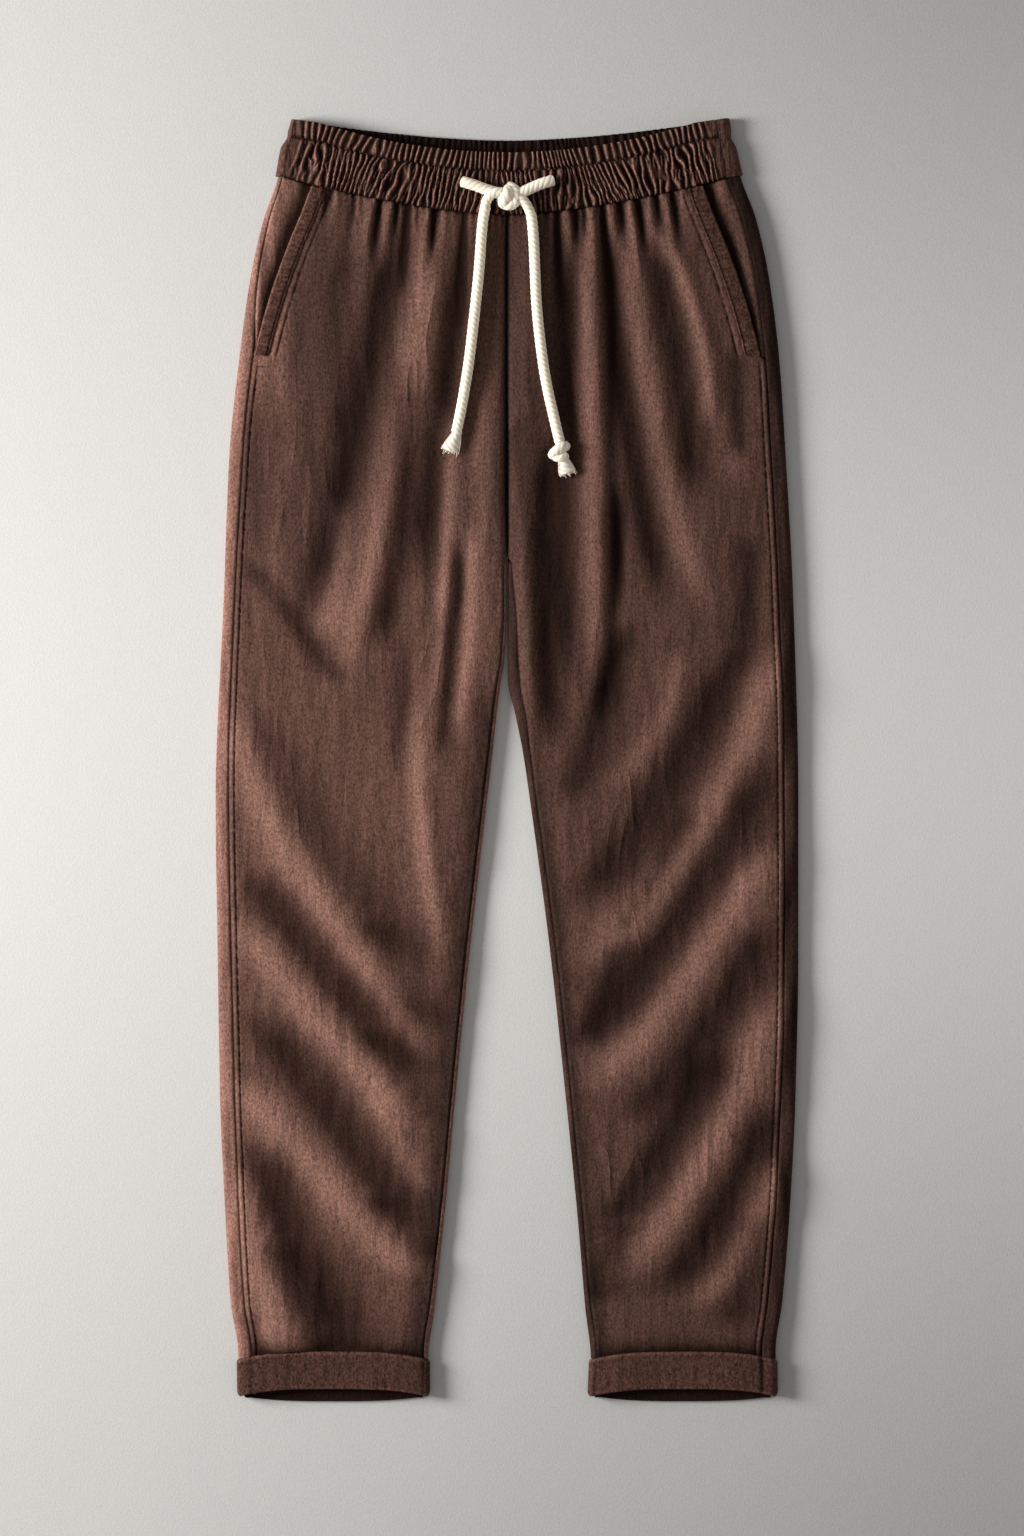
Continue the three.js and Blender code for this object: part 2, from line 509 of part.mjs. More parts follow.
// Back panels: from the side seam round the outer edge, flat across, and on the legs up
// round the inner edge to the inseam. Near the crotch the inner wall starts low.
function backRow(side, row) {
  const { outer, inner: innerEdge } = outline(side);
  const points = [];
  const push = (u, across, down, z, nx, nz) => {
    const at = place(side, across, down, z);
    const inwards = new THREE.Vector3(-side * nx * CLOTH, 0, -nz * CLOTH);
    points.push({ u, outer: at, inner: at.clone().add(inwards) });
  };
  const pushOnFront = (u, from, to, t) => {
    const point = { u, across: mix(from.across, to.across, t), down: mix(from.down, to.down, t) };
    points.push(laidOn(side, point, -CLOTH, 0));
  };
  const seam = crossing(side, row, (down) => sideSeamLine(side)(down) + SEAM_GAP);
  const edge = crossing(side, row, outer);
  const lift = backLift(edge.down);
  const low = foldLineHeight(edge.down);
  const round = low - lift;
  const diagonal = Math.SQRT1_2;
  for (const t of [0, 0.45, 0.8]) pushOnFront(0.1 * t, seam, edge, t);
  push(0.1, edge.across, edge.down, low, 1, 0);
  push(0.15, edge.across - round * (1 - diagonal), edge.down, low - round * diagonal, diagonal, -diagonal);
  push(0.2, edge.across - round, edge.down, lift, 0, -1);

  const hasWall = row > WALL_START_ROW;
  const wallShare = smooth(WALL_START_ROW, LEG_START_ROW - 4, row);
  const inner = hasWall ? innerEdge(row) : HALF_GAP;
  const innerRound = hasWall ? round * wallShare : 0;
  const bottomDown = (across) => backDown(side, edge, across, row);
  const bottomEnd = inner + innerRound;
  const bottomColumns = row === HIP_ROWS[0] ? WAIST_SEAM_COLUMNS : 2;
  for (const t of spread(bottomColumns).slice(1)) {
    const across = mix(edge.across - round, bottomEnd, t);
    push(mix(0.2, 1, t), across, bottomDown(across), lift, 0, -1);
  }
  if (!hasWall) return points;

  const wall = { across: inner, down: bottomDown(inner) };
  const inLeg = row > LEG_START_ROW;
  const wallTop = inLeg ? low : lift + CROTCH_WALL * wallShare;
  const bend = Math.min(innerRound, wallTop - lift);
  const cornerZ = lift + bend * (1 - diagonal);
  push(1.2, inner + innerRound * (1 - diagonal), wall.down, cornerZ, -diagonal, -diagonal);
  push(1.4, inner, wall.down, wallTop, -1, 0);
  if (!inLeg) return points;
  const inseam = crossing(side, row, (down) => inseamLine(side)(down) - SEAM_GAP);
  pushOnFront(1.6, wall, inseam, 0.3);
  pushOnFront(2, wall, inseam, 1);
  return points;
}

function backPanel(side) {
  return sheetGeometry(PANEL_ROWS.map((row) => backRow(side, row)), side < 0);
}

// Waistband. The front half is gathered between its plain ends and shares the fronts' form,
// and gathers lean outwards below. The frill's stitch line pinches both halves.
const BAND_ROWS = [
  { share: 0, rise: 0.8, pinch: 0, inBack: true },
  { share: 0.29, rise: 0.5, pinch: 0.9, inBack: true },
  { share: 0.62, rise: 1.1, pinch: 0, inBack: false },
  { share: 1, rise: 0.9, pinch: 0.2, inBack: true },
];
const gathered = (part) => 1 - smooth(0.86, 0.97, Math.abs(part));
const gatherRise = (index, part) => {
  const uneven = 0.8 + 0.2 * Math.sin(index * 2.4);
  return (index % 2 === 0 ? 1 : -1) * GATHER_RISE * uneven * gathered(part);
};

function bandAcross(side, part, share) {
  const size = Math.abs(part);
  const atTop = sideSeamLine(side)(0) * (size - GATHER_LEAN * Math.sin(Math.PI * size));
  const atSeam = crossing(side, HIP_ROWS[0], sideSeamLine(side)).across * size;
  return mix(atTop, atSeam, share);
}

// A point of the band's wall on the tube's top, moved out by rise
function bandPoint(side, across, down, rise) {
  const { outer, inner } = outline(side);
  const height = (at) => tubeHeight(side, at, down, outer(down) + BAND_SIDE_PROUD, inner(down), 0);
  const step = 0.2;
  const slope = (height(across + step) - height(across - step)) / (2 * step);
  const normal = new THREE.Vector3(-side * slope, 0, 1).normalize();
  const base = place(side, across, down, height(across));
  return {
    outer: base.clone().addScaledVector(normal, rise),
    inner: base.addScaledVector(normal, rise - BAND_WALL),
  };
}

function waistbandFront() {
  const columns = 2 * GATHERS;
  const rows = BAND_ROWS.map((band) => spread(columns).map((u, index) => {
    const part = mix(-1, 1, u);
    const side = part < 0 ? -1 : 1;
    const across = bandAcross(side, part, band.share);
    const down = mix(frontTopEdge(across), frontWaistSeam(across) - SEAM_GAP, band.share);
    const ripple = band.rise * gatherRise(index, part) - band.pinch * gathered(part);
    return { u, ...bandPoint(side, across, down, BAND_PROUD + ripple) };
  }));
  return sheetGeometry(rows, false);
}

// The back half runs from one side seam round both folded edges to the other
function bandBackEnd(side, band) {
  const { outer } = outline(side);
  const seamAcross = bandAcross(side, 1, band.share) + SEAM_GAP;
  const seamDown = mix(frontTopEdge(seamAcross), frontWaistSeam(seamAcross) - SEAM_GAP, band.share);
  const edgeDown = mix(backTopEdge(outer(0)), crossing(side, HIP_ROWS[0], outer).down - SEAM_GAP, band.share);
  const edgeAcross = outer(edgeDown) + BAND_SIDE_PROUD;
  const halfAcross = mix(seamAcross, edgeAcross, 0.6);
  const halfway = bandPoint(side, halfAcross, mix(seamDown, edgeDown, 0.6), 0.2);
  const low = foldLineHeight(edgeDown);
  const corner = edgeAcross - low * (1 - Math.SQRT1_2);
  const cornerZ = low * (1 - Math.SQRT1_2);
  const cornerWall = BAND_WALL * Math.SQRT1_2;
  return [
    bandPoint(side, seamAcross, seamDown, BAND_PROUD),
    halfway,
    {
      outer: place(side, edgeAcross, edgeDown, low),
      inner: place(side, edgeAcross - BAND_WALL, edgeDown, low),
    },
    {
      outer: place(side, corner, edgeDown, cornerZ),
      inner: place(side, corner - cornerWall, edgeDown, cornerZ + cornerWall),
    },
  ];
}

function bandBackFlat(band, u, index) {
  const part = mix(-1, 1, u);
  const side = part < 0 ? -1 : 1;
  const { outer } = outline(side);
  const wide = (down) => (outer(down) - foldLineHeight(down)) * Math.abs(part);
  const edge = crossing(side, HIP_ROWS[0], outer);
  const across = mix(wide(4), crossing(side, HIP_ROWS[0], wide).across, band.share);
  const seamDown = backDown(side, edge, across, HIP_ROWS[0]) - SEAM_GAP;
  const down = mix(backTopEdge(across), seamDown, band.share);
  const ripple = Math.max(0, gatherRise(index, part)) * (band.rise + 0.4);
  return {
    outer: place(side, across, down, ripple),
    inner: place(side, across, down, ripple + BAND_WALL),
  };
}

function waistbandBack() {
  const rows = BAND_ROWS.filter((band) => band.inBack).map((band) => {
    const flat = spread(2 * GATHERS).map((u, index) => bandBackFlat(band, u, index));
    const row = [...bandBackEnd(-1, band), ...flat, ...bandBackEnd(1, band).reverse()];
    return row.map((point, index) => ({ ...point, u: index / (row.length - 1) }));
  });
  return sheetGeometry(rows, true);
}

// Cuffs: closed rings a little wider than the leg, with the front hem shorter than the back
const CUFF_ROWS = [0, 0.5, 1];
const CUFF_EDGE_STEPS = [0, 1.6, 5.5, 13];
const CUFF_FLAT_STEPS = 6;

function cuffLoop(side, share) {
  const { outer, inner } = outline(side);
  const outerEdge = (down) => outer(down) + CUFF_WIDER;
  const innerEdge = (down) => inner(down) - CUFF_WIDER;
  const frontDown = (across) => mix(
    acrossLeg(side, across, CUFF_SEAM_MIDDLE, CUFF_SEAM_SIDE) + SEAM_GAP,
    acrossLeg(side, across, FRONT_HEM_MIDDLE, HEM_SIDE),
    share,
  );
  const backDown = (across) => mix(
    CUFF_SEAM_SIDE + SEAM_GAP,
    acrossLeg(side, across, BACK_HEM_MIDDLE, HEM_SIDE),
    share,
  );
  const sideDown = mix(CUFF_SEAM_SIDE + SEAM_GAP, HEM_SIDE, share);
  const wide = outerEdge(sideDown);
  const narrow = innerEdge(sideDown);
  const front = [
    ...CUFF_EDGE_STEPS.map((inset) => wide - inset),
    ...spread(CUFF_FLAT_STEPS).slice(1, -1).map((t) => mix(wide - CUFF_EDGE_STEPS.at(-1),
      narrow + CUFF_EDGE_STEPS.at(-1), t)),
    ...CUFF_EDGE_STEPS.map((inset) => narrow + inset).reverse(),
  ];
  const low = foldLineHeight(sideDown);
  const loop = front.map((across) => {
    const down = frontDown(across);
    const height = tubeHeight(side, across, down, wide, narrow, cuffWave(side, across, share));
    const inEdge = across === wide || across === narrow;
    return { across, down: inEdge ? sideDown : down, z: inEdge ? low : height + CUFF_PROUD };
  });
  const corner = low * (1 - Math.SQRT1_2);
  const bottom = spread(CUFF_FLAT_STEPS).map((t) => mix(narrow + low, wide - low, t));
  loop.push({ across: narrow + corner, down: sideDown, z: corner });
  for (const across of bottom) loop.push({ across, down: backDown(across), z: 0 });
  loop.push({ across: wide - corner, down: sideDown, z: corner });
  return loop;
}

function cuffWave(side, across, share) {
  return 0.5 * share * Math.sin(across / 9 + side) * Math.sin(across / 23);
}

function cuff(side) {
  const rows = CUFF_ROWS.map((share) => {
    const loop = cuffLoop(side, share);
    return loop.map((point, index) => {
      const before = loop.at(index - 1);
      const after = loop[(index + 1) % loop.length];
      const along = new THREE.Vector2(after.across - before.across, after.z - before.z).normalize();
      const across = point.across - along.y * CUFF_WALL;
      return {
        outer: place(side, point.across, point.down, point.z),
        inner: place(side, across, point.down, point.z + along.x * CUFF_WALL),
      };
    });
  });
  return ringGeometry(rows, side > 0);
}

// Rope: tube along a smooth route
const routePoint = ([x, down, z]) => new THREE.Vector3(x, TOP_Y - down, z);

function ropeTube(points, diameter, steps, sides) {
  const section = new THREE.Shape();
  for (let i = 0; i < sides; i += 1) {
    const angle = 2 * Math.PI * i / sides;
    const x = diameter / 2 * Math.cos(angle);
    const y = diameter / 2 * Math.sin(angle);
    if (i === 0) section.moveTo(x, y);
    else section.lineTo(x, y);
  }
  section.closePath();
  const extrudePath = new THREE.CatmullRomCurve3(points);
  return new THREE.ExtrudeGeometry(section, { steps, bevelEnabled: false, extrudePath, curveSegments: 1 });
}

function drawstringTail(name) {
  const points = TAIL_ROUTES[name].map(routePoint);
  const length = new THREE.CatmullRomCurve3(points).getLength();
  return ropeTube(points, ROPE, Math.round(length / (2 * ROPE)), 10);
}

// Joins and cuts of closed meshes
function toSolid(geometry) {
  const bare = geometry.clone();
  for (const name of ['normal', 'uv']) bare.deleteAttribute(name);
  const merged = BufferGeometryUtils.mergeVertices(bare.index ? bare.toNonIndexed() : bare, 1e-4);
  return new wasm.Manifold(new wasm.Mesh({
    numProp: 3,
    vertProperties: new Float32Array(merged.attributes.position.array),
    triVerts: new Uint32Array(merged.index.array),
  }));
}

function toGeometry(solid) {
  const { numProp, vertProperties, triVerts } = solid.getMesh();
  const positions = new Float32Array(vertProperties.length / numProp * 3);
  for (let i = 0; i < positions.length / 3; i += 1) {
    for (let k = 0; k < 3; k += 1) positions[3 * i + k] = vertProperties[numProp * i + k];
  }
  const geometry = new THREE.BufferGeometry();
  geometry.setAttribute('position', new THREE.BufferAttribute(positions, 3));
  geometry.setIndex([...triVerts]);
  geometry.computeVertexNormals();
  return geometry;
}

const joined = (geometries) => toGeometry(geometries.map(toSolid).reduce((all, one) => all.add(one)));

// An oval lump of rope: half sizes, turned in the plane of the cloth
function lump(x, down, z, halves, turn) {
  const geometry = new THREE.SphereGeometry(1, 9, 5);
  geometry.scale(...halves);
  geometry.rotateZ(turn);
  geometry.translate(x, TOP_Y - down, z);
  return geometry;
}

// The knot, with the short stretches that come from the band's eyelets and go to the tails
const KNOT_LEADS = [
  [[-35.5, 49.2, 20.1], [-30, 50.6, 20.9], [-22, 53, 21.4], [-12, 57, 21.8], [-3, 60, 22]],
  [[37, 47.6, 20.1], [31, 49.6, 20.9], [22, 53.4, 21.4], [12, 57.4, 21.8], [3, 60.4, 22]],
  [[-3, 60, 24], [-8.6, 60.6, 24], [-13, 63.2, 22.9], [-15.8, 66.2, 21.7], [-16.8, 69, 20.9]],
  [[3, 62, 24], [9, 62, 23.7], [13.8, 65.2, 22.5], [17, 69.8, 21.2], [18.8, 74.3, 20.4]],
];

function knot() {
  return joined([
    ...KNOT_LEADS.map((route) => ropeTube(route.map(routePoint), ROPE * 0.97, 4, 10)),
    lump(-0.4, 60, 24.4, [5.4, 8.2, 5], -0.45),
    lump(5.2, 63.8, 23.2, [5.6, 6.4, 4.6], 0.5),
  ]);
}

// Frayed end: a head round the rope's end and strands that fan out of it
const TUFTS = {
  right: { root: [-41.4, 254.5, 14], aim: -0.5, open: 1.15, length: 15, head: 5 },
  left: { root: [44.8, 274.6, 13], aim: 0.38, open: 0.95, length: 12, head: 4.6 },
};
const TUFT_STRANDS = 12;

function strand(root, angle, index, length) {
  const rise = 1.6 * Math.sin(index * 1.9);
  const reach = length * (0.86 + 0.14 * Math.sin(index * 2.7));
  const at = (t) => new THREE.Vector3(
    root.x + Math.sin(angle) * reach * t,
    root.y - Math.cos(angle) * reach * t,
    root.z + rise * t - 2.2 * t * t,
  );
  const start = at(0.12);
  const end = at(1);
  const geometry = new THREE.CylinderGeometry(0.75, 0.45, start.distanceTo(end), 4);
  const turn = new THREE.Quaternion().setFromUnitVectors(
    new THREE.Vector3(0, 1, 0),
    start.clone().sub(end).normalize(),
  );
  geometry.applyQuaternion(turn);
  const middle = start.add(end).multiplyScalar(0.5);
  geometry.translate(middle.x, middle.y, middle.z);
  return geometry;
}

function frayedEnd(name) {
  const tuft = TUFTS[name];
  const root = routePoint(tuft.root);
  const strands = Array.from({ length: TUFT_STRANDS }, (unused, index) => {
    const angle = tuft.aim + tuft.open * (index / (TUFT_STRANDS - 1) - 0.5);
    return strand(root, angle, index, tuft.length);
  });
  const head = lump(tuft.root[0], tuft.root[1], tuft.root[2], [tuft.head, 3.4, 3.6], tuft.aim);
  return joined([head, ...strands]);
}

function endKnot() {
  return joined([
    lump(39.6, 266, 13.7, [5.4, 5, 4.4], 0),
    lump(44.2, 264.8, 13.9, [5.2, 6.2, 4.6], 0.2),
  ]);
}

// Materials
const linen = (color) => () => new THREE.MeshStandardMaterial({ color, roughness: 0.93, metalness: 0 });
const cloth = linen(0x5b4037);
const turnedCloth = linen(0x543a32);
const bandCloth = linen(0x4f362e);
const cotton = linen(0xe9e2d2);

const trousers = new THREE.Group();
trousers.name = 'trousers';
function add(name, geometry, material) {
  const mesh = new THREE.Mesh(geometry, material());
  mesh.name = name;
  trousers.add(mesh);
}

for (const [name, side] of [['right', -1], ['left', 1]]) {
  add(`front_${name}`, frontPanel(side), cloth);
  add(`back_${name}`, backPanel(side), cloth);
  add(`pocket_facing_${name}`, pocketFacing(side), cloth);
  add(`pocket_edge_${name}`, pocketEdge(side), turnedCloth);
  add(`cuff_${name}`, cuff(side), turnedCloth);
}
add('waistband_front', waistbandFront(), bandCloth);
add('waistband_back', waistbandBack(), bandCloth);
add('drawstring_knot', knot(), cotton);
for (const name of ['right', 'left']) {
  add(`drawstring_${name}`, drawstringTail(name), cotton);
  add(`frayed_end_${name}`, frayedEnd(name), cotton);
}
add('end_knot_left', endKnot(), cotton);

export default trousers;
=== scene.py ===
import math

import bpy
import numpy as np
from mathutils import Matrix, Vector


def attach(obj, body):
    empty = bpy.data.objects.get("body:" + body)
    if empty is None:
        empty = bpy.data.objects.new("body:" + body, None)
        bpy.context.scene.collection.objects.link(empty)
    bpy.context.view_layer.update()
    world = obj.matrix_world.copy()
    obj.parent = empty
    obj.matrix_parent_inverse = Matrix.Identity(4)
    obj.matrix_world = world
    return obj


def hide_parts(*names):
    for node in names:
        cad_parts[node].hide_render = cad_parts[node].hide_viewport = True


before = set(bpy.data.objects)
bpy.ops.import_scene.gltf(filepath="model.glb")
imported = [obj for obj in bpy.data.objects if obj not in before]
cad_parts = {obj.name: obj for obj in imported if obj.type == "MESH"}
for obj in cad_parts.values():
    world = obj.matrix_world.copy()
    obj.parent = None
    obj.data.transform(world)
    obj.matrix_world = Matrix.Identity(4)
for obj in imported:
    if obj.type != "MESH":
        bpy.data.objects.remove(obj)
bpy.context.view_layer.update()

scene = bpy.context.scene
MM = 0.001

# Sizes shared with the solids
TOP_Y = 513
CLOTH = 1.2
HALF_GAP = 0.15
SEAM_GAP = 0.3
LEG_END = 984
POCKET_UNDERLAP = 10
POCKET_SINK = 1.8
GATHERS = 57
BAND_GATHERS = 69
GATHER_RISE = 1.4
GATHER_LEAN = 0.06
ROPE = 8.0
ROUND_OVER = 5.5
SLOPE_IN = 30
SHARE_ROUND = 0.75
FOLD_LINE = 0.43
LEAST_HEIGHT = 3.4
CUFF_PROUD = 1.1
CUFF_WIDER = 1.5
BAND_PROUD = 0.6
BAND_SIDE_PROUD = 0.5
SEAM_STEP = 1.1
CROTCH_WALL = 1.9
PLEAT_WIDTH = 4.6
CUFF_SEAM_MIDDLE = 984.1
CUFF_SEAM_SIDE = 990.7
FRONT_HEM_MIDDLE = 1014.4
HEM_SIDE = 1020.8
BACK_HEM_MIDDLE = 1025.4
WAIST_ROW = 78.4
POCKET_END = 201
WALL_START = 318
LEG_START = 352
BACK_EASE = 60
FRONT_SEAM_RISE = 31
BACK_SEAM_MIDDLE = 66
BACK_SEAM_RISE = 18.7
SEAM_HALF = 180
BACK_TOP_DIP = 17.6
BACK_TOP_HALF = 177
FRONT_TOP_DIP = 11.2
FRONT_TOP_HALF = 150
POCKET_LEAN = 0.93
POCKET_STITCHES = (9.7, 16.4)
SIDE_STITCH = 4.8
FLY_STITCH = 1.8
CHANNEL_SHARE = 0.29
BAND_DEPTH = 62
BAND_HALF = 176
CAMERA_HEIGHT = 3413
CAMERA_SEES_FROM = 3400

# down, half width right and left, side seam's inset right and left
OUTER = np.array([
    (-5, 170.5, 176.5, 3, 11.5), (0, 171.5, 177.2, 3, 11.5), (25, 179, 181.5, 3.5, 11.5),
    (48, 183.2, 187, 4, 12), (81, 194.4, 199.2, 5, 12), (129, 205.2, 209.6, 6.5, 11.5),
    (193, 214, 217.6, 11, 11.5), (265, 221.6, 222.4, 11, 12), (385, 226.4, 228.8, 9, 12),
    (545, 232.8, 232.8, 10.5, 11.5), (665, 231.2, 232.8, 11, 11.5),
    (785, 229.2, 230.4, 12, 12), (865, 225.6, 226.4, 11.5, 12), (945, 220.8, 220, 11, 12),
    (985, 214.8, 214.6, 10.5, 11.5), (1030, 214, 215, 10.5, 11.5)], float)
# down, inner edge right and left, inseam's inset right and left
INNER = np.array([
    (300, 0.5, 0.5, 1.9, 2.8), (357, 0.5, 0.6, 1.9, 3.2), (396, 0.6, 0.6, 2, 6.8),
    (434, 2.4, 0.6, 2.5, 8.4), (450, 5.1, 0.9, 2.6, 9.4), (476, 8.3, 6.6, 2.7, 8.2),
    (507, 11.6, 12.8, 2.9, 5.9), (545, 16, 18.4, 3, 5), (665, 29.6, 34.4, 3, 4.8),
    (785, 41.6, 47.2, 3, 4.5), (865, 48.8, 55.2, 3.2, 4.3), (945, 57.6, 62.4, 3.5, 4),
    (985, 63, 67, 3.5, 4), (1030, 63, 65.5, 3.5, 4)], float)
# down, body, arch, sunk, lift
HEIGHTS = np.array([
    (-5, 9.4, 6.4, 0, 0), (50, 9.4, 5.2, 0, 0), (100, 9.6, 3.6, 0.1, 0),
    (200, 9.6, 1.6, 0.45, 0), (345, 9.4, 0.3, 1, 0), (450, 9.4, 0, 1, 0), (700, 9.2, 0, 1, 0),
    (920, 9.4, 0, 1, 0), (984, 10, 0, 1, 1.1), (1030, 10, 0, 1, 1.1)], float)
# down, across
POCKET_LINE = np.array([
    (40, 150), (52, 154.5), (76, 163.5), (99, 173), (127, 183.5), (152, 191.5), (184, 200),
    (196, 202.6)], float)
# the solids' folds, some softer here as in the photo, each from (x0, d0) through (x1, d1) to
# (x2, d2), troughs with a rise below 0: side, x0, d0, x1, d1, x2, d2, width, rise
FOLDS = [
    (-1, 108, 78, 126, 161, 148, 268, 11, 0.8), (-1, 86, 78, 114, 233, 158, 405, 13, -3),
    (-1, 52, 84, 86, 281, 126, 445, 15, 2.8), (-1, 38, 84, 57, 305, 85, 530, 11, -3.2),
    (-1, 20, 190, 15, 330, 22, 470, 9, 1.6), (-1, 44, 345, 50, 425, 60, 540, 8, 1.4),
    (-1, 170, 200, 179, 290, 186, 410, 13, 1), (-1, 214, 430, 152, 590, 72, 700, 14, 3.2),
    (-1, 198, 430, 139, 568, 60, 676, 12, -1.7), (-1, 212, 600, 134, 713, 62, 805, 14, 3.4),
    (-1, 204, 560, 139, 665, 66, 760, 12, -2.8), (-1, 212, 728, 135, 833, 72, 922, 14, 3.4),
    (-1, 202, 676, 132, 785, 72, 882, 12, -2.8), (-1, 214, 800, 196, 881, 162, 966, 13, 3),
    (-1, 198, 778, 161, 881, 117, 966, 12, -3), (-1, 205, 918, 199, 941, 190, 972, 8, -1.6),
    (1, 8, 270, 14, 385, 24, 540, 7, 1.8), (1, 53, 90, 47, 241, 50, 460, 10, -2.8),
    (1, 66, 80, 71, 257, 78, 465, 11, 2.4), (1, 79, 84, 97, 233, 130, 395, 10, -2.8),
    (1, 97, 80, 120, 233, 166, 405, 12, 2.2), (1, 121, 90, 136, 185, 154, 305, 12, -2.3),
    (1, 172, 175, 179, 225, 192, 300, 13, 1), (1, 194, 330, 194, 400, 186, 450, 11, -1.8),
    (1, 186, 430, 118, 573, 54, 664, 13, -2.8), (1, 220, 415, 159, 569, 64, 684, 15, 3.8),
    (1, 138, 440, 122, 513, 86, 566, 10, 1.8), (1, 101, 425, 78, 497, 52, 580, 10, -2.6),
    (1, 212, 512, 146, 641, 68, 775, 12, -3), (1, 217, 585, 149, 701, 72, 812, 15, 3.8),
    (1, 210, 645, 161, 741, 100, 832, 12, -2.6), (1, 222, 696, 169, 833, 92, 960, 15, 3.8),
    (1, 170, 752, 132, 833, 80, 922, 12, -2.8), (1, 214, 790, 174, 881, 124, 966, 12, -2.8),
    (1, 220, 835, 194, 905, 158, 966, 13, 2.8)]
# the same columns: softer folds that only the looks carry
SOFT_FOLDS = [
    (-1, 62, 325, 69, 505, 46, 680, 9, 3.0), (-1, 26, 320, 27, 405, 40, 500, 7, 2.2),
    (-1, 37, 330, 42, 410, 52, 520, 6.5, -2.4), (-1, 125, 640, 96, 690, 60, 748, 10, 1.8),
    (-1, 112, 622, 88, 662, 54, 724, 10, -1.9), (-1, 104, 768, 84, 806, 62, 852, 10, 1.8),
    (-1, 112, 710, 90, 744, 56, 802, 10, -2.0), (-1, 102, 848, 80, 878, 54, 906, 10, -2.0),
    (-1, 185, 860, 165, 905, 130, 978, 12, -2.2), (-1, 192, 922, 182, 950, 168, 984, 9, 1.8),
    (1, 120, 84, 150, 150, 163, 250, 8, 3), (1, 183, 180, 185, 222, 190, 275, 8, -2.2),
    (-1, 76, 190, 79, 290, 104, 430, 12, -3.2), (-1, 46, 225, 45, 310, 50, 410, 9, 2.4),
    (-1, 128, 300, 132, 350, 140, 420, 12, 2.2), (-1, 123, 92, 129, 170, 134, 265, 12, -1.5),
    (-1, 205, 350, 168, 400, 130, 455, 9, -1.8),
    (1, 150, 560, 125, 622, 90, 684, 8, -2.4), (1, 100, 678, 85, 715, 62, 772, 9, -2.2),
    (1, 35, 250, 33, 400, 38, 505, 9, -2.8), (1, 90, 290, 84, 400, 79, 485, 8, -2.6),
    (1, 84, 90, 84, 240, 92, 400, 6, -2.0), (1, 100, 905, 84, 940, 62, 978, 11, -1.8),
    (1, 205, 880, 196, 930, 176, 980, 12, -2.0)]
# side, across, reach, rise
PLEATS = [
    (-1, 33, 70, 1.5), (-1, 48, 40, 1.2), (-1, 62, 85, 1.7), (-1, 76, 50, 1.4),
    (-1, 92, 75, 1.8), (-1, 106, 45, 1.3), (-1, 119, 60, 1.6), (-1, 134, 40, 1.3),
    (1, 37, 45, 1.2), (1, 49, 55, 1.4), (1, 66, 75, 1.8), (1, 82, 50, 1.4), (1, 98, 80, 1.8),
    (1, 112, 45, 1.4), (1, 126, 60, 1.6), (1, 140, 40, 1.3)]
# side, across, reach, depth: short valleys that start at the waist seam
VALLEYS = [
    (-1, 121, 55, 1.7), (-1, 101, 70, 1.9), (-1, 88, 40, 1.5), (-1, 78, 95, 2.1),
    (-1, 58, 65, 1.9), (-1, 34, 120, 2.2), (-1, 141, 35, 1.2), (1, 39, 100, 2.1),
    (1, 54, 45, 1.7), (1, 61, 35, 1.3), (1, 76, 80, 2.1), (1, 90, 45, 1.6), (1, 104, 65, 1.9),
    (1, 119, 40, 1.4), (1, 131, 60, 1.7)]
# x, down and height of the rope's middle, from the knot to the frayed end
TAIL_ROUTES = {
    "right": [
        (-17.2, 70.4, 20.5), (-18.1, 75, 20), (-19, 80.5, 19.3), (-19.8, 88, 18.7),
        (-20.6, 98, 18.2), (-21.4, 110, 17.8), (-22.5, 124, 17.4), (-24, 139, 17),
        (-25.6, 154, 16.7), (-27.3, 169, 16.3), (-29, 184, 16), (-31, 199, 15.6),
        (-33.2, 213, 15.3), (-35.6, 227, 14.9), (-38, 239.5, 14.5), (-40.4, 250.5, 14.1)],
    "left": [
        (19.2, 75.8, 20.1), (19.9, 81, 19.4), (20.6, 88, 18.7), (21.2, 96, 18.3),
        (21.7, 106, 17.9), (22.2, 118, 17.6), (22.7, 131, 17.3), (23.4, 145, 17),
        (24.6, 160, 16.6), (26.2, 175, 16.2), (28.1, 190, 15.9), (30.2, 204, 15.6),
        (32.8, 218, 15.1), (35.7, 231, 14.6), (38.7, 244, 14.1), (42, 258, 13.6)]}

# Camera, straight above
camera_data = bpy.data.cameras.new("camera")
camera_data.lens = 100
camera_data.sensor_width = 36
camera_data.clip_end = 50
camera = bpy.data.objects.new("camera", camera_data)
camera.location = (0.004, -0.006, CAMERA_HEIGHT * MM)
scene.collection.objects.link(camera)
scene.camera = camera


# Small maths
def clamp(value, low, high):
    return np.minimum(high, np.maximum(low, value))


def mix(a, b, t):
    return a + (b - a) * t


def smooth(low, high, value):
    t = clamp((np.asarray(value, float) - low) / (high - low), 0, 1)
    return t * t * (3 - 2 * t)


def bump(value, width):
    """A soft bell of height 1 round zero."""
    return np.exp(-(value / width) ** 2)


